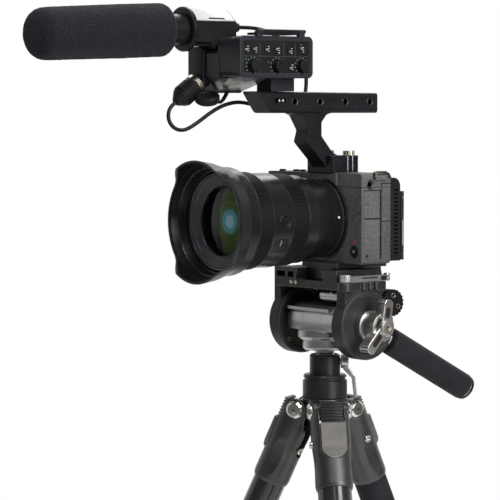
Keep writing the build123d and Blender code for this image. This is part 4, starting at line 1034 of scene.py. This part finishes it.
# threaded inserts along the handle, domes on its switch and bright ribs on its foot
def makeHandleTrim():
    sizes = {
        "face": 10.2, "height": 776.3, "holes": (-42.4, -14.2, 14.0, 42.2),
        "rim": [(2.6, -0.3), (2.6, 0.1), (2.9, 0.28), (3.3, 0.28), (3.5, 0.1), (3.5, -0.3)],
        "dome": [(0.0, 0.7), (0.8, 0.5), (1.4, 0.0), (1.4, -0.3), (0.0, -0.3)], "domes": (-61.0, -57.0),
        "domeAt": (12.5, 777.1), "ribAt": (17.8, 714.9),
        "rib": [(0.0, 0.0), (1.0, 0.0), (1.0, 14.6), (0.0, 14.6)], "ribs": (10.3, 15.8),
    }
    for label, side, turn in (("Left", 1, facesLeft), ("Right", -1, facesRight)):
        holes = [spot(side * sizes["face"], y, sizes["height"]) for y in sizes["holes"]]
        repeatItem("handleInserts" + label, turnedItem(sizes["rim"], 32, True), holes, turn, insertAndShadeDark,
                   "camera")
    x, z = sizes["domeAt"]
    domes = [spot(x, y, z) for y in sizes["domes"]]
    repeatItem("switchDomes", turnedItem(sizes["dome"], 20), domes, facesLeft, screwNickel, "slide_switch")
    x, z = sizes["ribAt"]
    bm = bmesh.new()
    for y in sizes["ribs"]:
        addTurned(bm, sizes["rib"], Matrix.Translation(spot(x, y, z)), 24)
    makePiece(bm, "footRibs", ringBlue, "camera")
    nodes["handle_screws"].material_slots[0].material = screwNickel


makeHandleTrim()


# lens trim: front bezel whose rim and lips are bright metal rings as painted edge highlights, index dot,
# button ring, a slide switch and the mount's flange
def makeLensTrim():
    sizes = {
        "axis": 674.8, "dotAt": (34.6, -13.0, 676.8), "holdAt": (40.5, -76.5, 674.8),
        "bezel": [(41.4, -117.05), (39.0, -117.25), (36.5, -115.3), (30.7, -112.3), (30.7, -111.6),
                  (41.4, -116.4)],
        "dot": [(0.0, 0.15), (0.8, 0.12), (1.0, 0.0), (1.0, -0.6), (0.0, -0.6)],
        "holdRing": [(5.2, -1.4), (5.2, 0.3), (5.6, 0.6), (6.5, 0.6), (6.8, 0.2), (6.8, -1.4)],
        "switchAt": -77.8, "switchTurn": 26, "switchPlate": ((39.6, -7.2, -3.6), (41.0, 7.2, 3.6)),
        "switch": ((40.8, -1.6, -2.7), (41.8, -0.9, 2.7)),
        "flange": [(33.6, -6.35), (36.3, -6.35), (36.6, -6.1), (36.6, -1.0), (36.05, -1.0), (36.05, -6.02),
                   (33.6, -6.02)],
        "rim": [(41.4, -117.3), (40.9, -117.75), (40.3, -117.6), (40.3, -117.2)],
        "lips": [[(36.9, -115.2), (36.9, -115.75), (36.55, -115.65), (36.4, -115.0)],
                 [(31.3, -112.4), (31.3, -112.95), (30.8, -112.7), (30.8, -112.2)]],
    }
    axis = sizes["axis"]
    bezelGrey = coatedFinish("bezelGrey", (0.060, 0.058, 0.066), (0.3, 0.42), 1500.0, 0.00003, 0.0004)
    makeTurned("frontBezel", sizes["bezel"], lensLine, 160, bezelGrey, "camera", True)
    repeatItem("indexDot", turnedItem(sizes["dot"]), [spot(*sizes["dotAt"])], facesLeft, markWhite,
               "camera")
    makeTurned("holdRing", sizes["holdRing"], along(spot(*sizes["holdAt"]), (1, 0, 0)), 56, lensBlack,
               "camera", True)
    around = Matrix.Translation(spot(0, sizes["switchAt"], axis))
    around = around @ Matrix.Rotation(radians(sizes["switchTurn"]), 4, "Y")
    makeBlocks("barrelSwitchPlate", [sizes["switchPlate"]], 0.6, knobBlack, "camera", 3, around)
    makeBlocks("barrelSwitch", [sizes["switch"]], 0.2, lineGrey, "camera", 2, around)
    makeTurned("mountFlange", sizes["flange"], lensLine, 160, lensBlack, "camera", True)
    # bright rim and lips are painted edge highlights
    makeTurned("bezelRim", sizes["rim"], lensLine, 160, ringBlue, "camera", True)
    bm = bmesh.new()
    for profile in sizes["lips"]:
        addTurned(bm, profile, lensLine, 160, True)
    makePiece(bm, "bezelLips", ringBlue, "camera")


makeLensTrim()


# smooth baffle inside the hood, with two steps and a bright metal ring at one as a painted edge highlight
def makeHoodBaffle():
    sizes = {"start": -118.3, "flare": -130.0, "end": -131.6, "wall": (44.7, 48.5), "mouth": 48.7, "steps": 2,
             "lifts": ((0.0, 0.15), (0.92, 0.9)),
             "ring": [(46.3, -125.2), (45.9, -125.9), (45.5, -125.9), (45.5, -125.3)]}
    start, flare, end, steps = sizes["start"], sizes["flare"], sizes["end"], sizes["steps"]
    narrow, wide = sizes["wall"]
    outer = [(narrow + (wide - narrow) * n / 6, start + (flare - start) * n / 6) for n in range(7)]
    outer.append((sizes["mouth"], end))
    inner = []
    for n in range(steps):
        for share, lift in sizes["lifts"]:
            y = end + (start - end) * (n + share) / steps
            inner.append((narrow + (wide - narrow) * min(1.0, (start - y) / (start - flare)) - lift, y))
    makeTurned("hoodBaffle", outer + inner, lensLine, 128, hoodBlack, "hood", True, 20)
    # the bright ring is a painted edge highlight
    makeTurned("hoodRing", sizes["ring"], lensLine, 160, ringBlue, "hood", True)


makeHoodBaffle()


# leg trim: thumb ribs and dark necks on the tabs, set screws in each shoulder, and dark discs in the bolts'
# sockets as painted shade
def makeLegTrim():
    sizes = {
        "hinge": (0.0, 22.0, 507.1), "spread": 24.5, "half": 10.9, "low": -35.5, "face": 16.4, "ribs": 6,
        "rib": 1.5, "neck": -14.6, "neckHalf": 9.6, "neckSteps": 7, "neckPitch": 2.9,
        "neckRidge": ((14.5, 14.85), (0.25, 1.75)), "neckGroove": ((13.5, 13.75), (1.85, 3.05)),
        "setScrews": (((16.4, 0.0, -30.0), (1, 0, 0)), ((-6.0, -15.6, -34.0), (-0.35, -0.94, 0))),
        "head": [(0.0, 1.0), (1.5, 1.0), (1.6, 2.3), (2.6, 2.5), (3.2, 1.9), (3.2, -0.6), (0.0, -0.6)],
        "boltEnd": 16.0, "socket": [(0.0, 3.9), (1.2, 3.9), (1.4, 3.7), (1.4, 3.0), (0.0, 3.0)],
    }
    tabGrey = coatedFinish("tabGrey", (0.115, 0.110, 0.105), (0.36, 0.5), 1500.0, 0.00005, 0.0006, 1.3, 0.3)
    face, across = sizes["face"], sizes["neckHalf"]
    hinge = Vector(sizes["hinge"])
    ribs = []
    for n in range(sizes["ribs"]):
        drop = 1.0 + sizes["rib"] * n
        half = (sizes["half"] ** 2 - drop ** 2) ** 0.5 - 0.9
        z = sizes["low"] - drop
        ribs.append(((-half, face - 0.2, z - 0.35), (half, face + 0.35, z + 0.35)))
    neck = []
    for n in range(sizes["neckSteps"]):
        z = sizes["neck"] + sizes["neckPitch"] * n
        bands = (
            [sizes["neckRidge"]] if n == sizes["neckSteps"] - 1 else [sizes["neckRidge"], sizes["neckGroove"]]
        )
        neck += [((-across, y0, z + z0), (across, y1, z + z1)) for (y0, y1), (z0, z1) in bands]
    for side, turn in (("left", -120.0), ("right", 120.0), ("rear", 0.0)):
        station = home @ Matrix.Rotation(radians(turn), 4, "Z")
        leg = station @ Matrix.Translation(hinge / 1000) @ Matrix.Rotation(radians(sizes["spread"]), 4, "X")
        nodes[side + "_angle_tab"].material_slots[0].material = tabGrey
        makeBlocks(side + "TabRibs", ribs, 0.2, tabGrey, side + "_tab", 2, leg)
        makeBlocks(side + "TabNeck", neck, 0.1, knobBlack, side + "_tab", 2, leg)
        bm = bmesh.new()
        for point, out in sizes["setScrews"]:
            addTurned(bm, sizes["head"], leg @ along(Vector(point) / 1000, out), 24)
        makePiece(bm, side + "SetScrews", boltChrome, side + "_leg")
        # dark discs as painted shade in the bolts' sockets
        bm = bmesh.new()
        for away in (-1, 1):
            end = hinge + Vector((away * sizes["boltEnd"], 0.0, 0.0))
            addTurned(bm, sizes["socket"], station @ along(end / 1000, (away, 0, 0)), 6)
        makePiece(bm, side + "BoltSockets", insertAndShadeDark, "tripod_base")


makeLegTrim()
for side in ("left", "right"):
    for tube in ("_leg_tube", "_lower_leg"):
        nodes[side + tube].material_slots[0].material = legTubes[side]
nodes["rear_leg_tube"].material_slots[0].material = gripRubber


# head trim: bright pins on the platform, rims in the dial, a cap on the grip, a boss and screws on the yoke
def makeHeadTrim():
    sizes = {
        "dial": (52.3, 33.7, 602.1), "holes": 6.5, "pinAt": (-18.0, 618.6), "screw": 2.0,
        "rim": [(1.6, -0.8), (1.6, 0.15), (2.0, 0.3), (2.3, 0.1), (2.3, -0.8)],
        "pin": [(0.0, 0.9), (1.4, 0.9), (1.9, 0.5), (1.9, -0.5), (0.0, -0.5)], "pins": (-24.7, -18.4),
        "yokeBack": ((-35.0, 20.0, 600.5), (37.4, 22.0, 614.2)),
        "leverSlots": [((49.8, 0.0, 624.2), (50.15, 17.5, 625.4)),
                       ((49.8, 21.5, 622.3), (50.15, 27.5, 626.0))],
        "bar": (33.4, 5.0, 588.5), "barDip": -27.9, "barLong": 144.0,
        "cap": [(0.0, 4.4), (9.6, 4.4), (11.0, 3.6), (11.2, 2.8), (11.2, 1.1), (10.6, 0.9), (0.0, 0.9)],
        "boss": [(0.0, 12.0), (3.2, 12.0), (4.2, 13.0), (4.2, 37.4), (0.0, 37.4)],
        "bossAt": (0, -12.5, 608.5),
        "screws": [("bossScrew", (27.0, -14.9, 611.9), (radians(35), 0, 0)),
                   ("plateScrew", (-37.3, -11.0, 566.5), facesLeft)],
    }
    x0, y0, z0 = sizes["dial"]
    rims = []
    for n in range(3):
        turn = radians(90 + 120 * n)
        rims.append(spot(x0, y0 + sizes["holes"] * cos(turn), z0 + sizes["holes"] * sin(turn)))
    repeatItem("dialRims", turnedItem(sizes["rim"], 28, True), rims, facesLeft, buttonBronze, "balance")
    y, z = sizes["pinAt"]
    pins = [spot(x, y, z) for x in sizes["pins"]]
    repeatItem("platformPins", turnedItem(sizes["pin"], 28), pins, facesFront, screwNickel, "tilt_head")
    makeBlocks("yokeBack", [sizes["yokeBack"]], 0.5, deckBlack, "tilt_head")
    # black slots on the lever are painted shade
    makeBlocks("leverSlots", sizes["leverSlots"], 0.1, seamAndShadeBlack, "clamp")
    dip = radians(sizes["barDip"])
    run = Vector((0.0, cos(dip), sin(dip)))
    capFrame = along(spot(*sizes["bar"]) + run * sizes["barLong"] / 1000, run)
    makeTurned("gripCap", sizes["cap"], capFrame, 64, knobBlack, "pan_handle")
    makeTurned("springBoss", sizes["boss"], along(spot(*sizes["bossAt"]), (1, 0, 0)), 48, drumGrey,
               "tilt_head")
    for name, place, turn in sizes["screws"]:
        repeatItem(name, socketScrew, [spot(*place)], turn, buttonBronze, "tilt_head",
                   sizes["screw"])


makeHeadTrim()


# drag knob trim: dark strips round the wing tips and dark plates in the wings as painted shade in grooves and
# pockets, and a bronze centre
def makeKnobTrim():
    sizes = {
        "x": (65.6, 74.8), "tip": 4.75, "wings": ((80.0, 24.5), (228.0, 28.0)), "groove": (1.1, 0.25),
        "bends": (-62, -24, 14, 52), "pocket": 2.5, "pocketFace": 75.6, "pocketThick": 0.18,
        "centre": [(0.0, 77.4), (1.7, 77.4), (2.2, 78.2), (2.5, 78.2), (2.55, 76.5), (0.0, 76.5)],
    }
    (x0, x1), (wide, deep), tip = sizes["x"], sizes["groove"], sizes["tip"]
    middle = Matrix.Translation((0.0, tiltAxis.y, tiltAxis.z))
    grooves, pockets = bmesh.new(), bmesh.new()
    for angle, reach in sizes["wings"]:
        wing = middle @ Matrix.Rotation(radians(angle), 4, "X")
        end = wing @ Matrix.Translation((0.0, (reach - 5) / 1000, 0.0))
        for bend in sizes["bends"]:
            addBlock(grooves, (x0, tip - 0.6, -wide / 2), (x1, tip + deep, wide / 2), 0.2, 2,
                     end @ Matrix.Rotation(radians(bend), 4, "X"))
        stadium = []
        for far, start in ((reach - 9.5, -90), (10.5, 90)):
            for n in range(9):
                turn = radians(start + 22.5 * n)
                stadium.append((far + sizes["pocket"] * cos(turn), sizes["pocket"] * sin(turn)))
        face = Matrix.Translation((sizes["pocketFace"] / 1000, 0.0, 0.0))
        addPlate(pockets, stadium, wing @ face @ sideways, sizes["pocketThick"])
    # dark strips in the grooves and dark plates in the pockets are painted shade
    makePiece(grooves, "knobGrooves", seamAndShadeBlack, "drag_knob")
    makePiece(pockets, "knobPockets", insertAndShadeDark, "drag_knob")
    hub = along((0.0, tiltAxis.y, tiltAxis.z), (1, 0, 0))
    makeTurned("knobCentre", sizes["centre"], hub, 32, buttonBronze, "drag_knob")


makeKnobTrim()


# buttons on the casing's top, over the hand grip
def makeTopButtons():
    sizes = {"top": 714.8, "spots": [(-62.0, 2.0), (-45.0, 4.0), (-36.0, 4.0)],
             "button": [(0.0, 1.9), (2.4, 1.8), (3.0, 1.2), (3.1, 0.0), (3.8, 0.0), (4.0, -0.4), (0.0, -0.4)]}
    places = [spot(x, y, sizes["top"]) for x, y in sizes["spots"]]
    repeatItem("topButtons", turnedItem(sizes["button"], 36), places, upright, knobBlack, "camera")


makeTopButtons()


# controls on the cooling block's rear, beside the screen
def makeRearControls():
    sizes = {
        "face": 39.6, "dial": (-49.0, 655.0), "ring": 13.225, "buttons": [(-63.5, 668.0), (-34.5, 668.0)],
        "wheel": [(0.0, 1.6), (2.6, 1.6), (3.0, 1.2), (3.3, 0.5), (3.9, 0.5), (4.4, 1.7), (7.4, 1.9),
                  (8.0, 1.3), (8.2, -0.3), (0.0, -0.3)],
        "button": [(0.0, 1.1), (1.7, 1.0), (2.1, 0.6), (2.2, -0.3), (0.0, -0.3)],
        "mark": [(0.0, 0.1), (0.45, 0.1), (0.5, 0.0), (0.5, -0.2), (0.0, -0.2)], "markReach": 5.9,
    }
    y, ring, reach = sizes["face"], sizes["ring"], sizes["markReach"]
    x0, z0 = sizes["dial"]
    buttons = [spot(x, y, z) for x, z in sizes["buttons"]]
    for turn in (45, 135, 225, 315):
        buttons.append(spot(x0 + ring * cos(radians(turn)), y, z0 + ring * sin(radians(turn))))
    dots = [spot(x0 + dx * reach, y + 1.9, z0 + dz * reach) for dx, dz in ((1, 0), (-1, 0), (0, 1), (0, -1))]
    for name, item, segments, places, finish in (
        ("rearDial", "wheel", 48, [spot(x0, y, z0)], panelGrey),
        ("rearButtons", "button", 28, buttons, panelGrey), ("rearDialMarks", "mark", 14, dots, lineGrey),
    ):
        repeatItem(name, turnedItem(sizes[item], segments), places, facesRear, finish, "camera")


makeRearControls()
print("trim made")


# floor, light and backdrop
studio = {
    "floor": 3.6, "fade": (0.8, 1.7), "sky": 0.22, "dim": 0.16,
    "boxes": {
        "overheadBox": ((0.5, -0.5, 2.3), 0.65, (1.4, 1.4), 24.0),  # place, height aimed at, size, power
        "leftBox": ((-1.6, -1.3, 1.2), 0.65, (0.7, 1.6), 2.0),
        "rightBox": ((2.1, 0.1, 1.3), 0.65, (0.9, 1.6), 54.0),
        "frontBox": ((1.5, -1.4, 1.7), 0.6, (0.5, 1.0), 3.0),
        "rearBox": ((-1.0, 0.8, 2.0), 0.65, (1.6, 0.8), 20.0),
    },
}
floorMesh = bpy.data.meshes.new("studioFloor")
half = studio["floor"] / 2
floorMesh.from_pydata([(-half, -half, 0), (half, -half, 0), (half, half, 0), (-half, half, 0)], [],
                      [(0, 1, 2, 3)])
floor = bpy.data.objects.new("studioFloor", floorMesh)
bpy.context.collection.objects.link(floor)
floorPaper, paperTree, paperShader, paperPlace = startFinish("floorPaper", {"Roughness": 0.9})
paperGrain = groupNode(paperTree, grainGroup, paperPlace, Pitch=600.0)
paperTone = blendColour(paperTree, paperGrain.outputs["Tone"], (0.86, 0.86, 0.86), (0.92, 0.92, 0.92))
away = paperTree.nodes.new("ShaderNodeVectorMath")
away.operation = "LENGTH"
edgeFade = spreadValue(paperTree, away.outputs["Value"], 1.0, 0.0, *studio["fade"], "SMOOTHSTEP")
wire(paperTree, (paperTone, paperShader.inputs["Base Color"]), (paperPlace, away.inputs[0]),
     (edgeFade, paperShader.inputs["Alpha"]))
floorMesh.materials.append(floorPaper)

# white to the camera; mirrored, it is white behind the object and dims towards the photographer's side
world = bpy.data.worlds.new("studioWorld")
bpy.context.scene.world = world
world.use_nodes = True
sky = world.node_tree
backdrop = sky.nodes["Background"]
backdrop.inputs["Color"].default_value = (1.0, 1.0, 1.0, 1.0)
rays = sky.nodes.new("ShaderNodeLightPath")
behind = sky.nodes.new("ShaderNodeVectorMath")
behind.operation = "DOT_PRODUCT"
behind.inputs[1].default_value = (sight.x, sight.y, 0.0)
sky.links.new(sky.nodes.new("ShaderNodeTexCoord").outputs["Generated"], behind.inputs[0])
paper = spreadValue(sky, behind.outputs["Value"], studio["dim"], 1.0, 0.0, 0.9, "SMOOTHSTEP")
mirrored = mathNode(sky, "MAXIMUM", rays.outputs["Is Glossy Ray"], rays.outputs["Is Transmission Ray"])
seen = mathNode(sky, "MAXIMUM", rays.outputs["Is Camera Ray"], mathNode(sky, "MULTIPLY", mirrored, paper))
lit = mathNode(sky, "MULTIPLY", rays.outputs["Is Diffuse Ray"], studio["sky"])
sky.links.new(mathNode(sky, "MAXIMUM", seen, lit), backdrop.inputs["Strength"])

for name, (place, height, size, power) in studio["boxes"].items():
    lamp = bpy.data.lights.new(name, "AREA")
    lamp.shape = "RECTANGLE"
    lamp.size, lamp.size_y = size
    lamp.energy = power
    box = bpy.data.objects.new(name, lamp)
    bpy.context.collection.objects.link(box)
    box.location = place
    box.rotation_euler = (Vector((0, 0, height)) - Vector(place)).to_track_quat("-Z", "Y").to_euler()
bpy.context.scene.view_settings.view_transform = "Standard"
print("studio made")
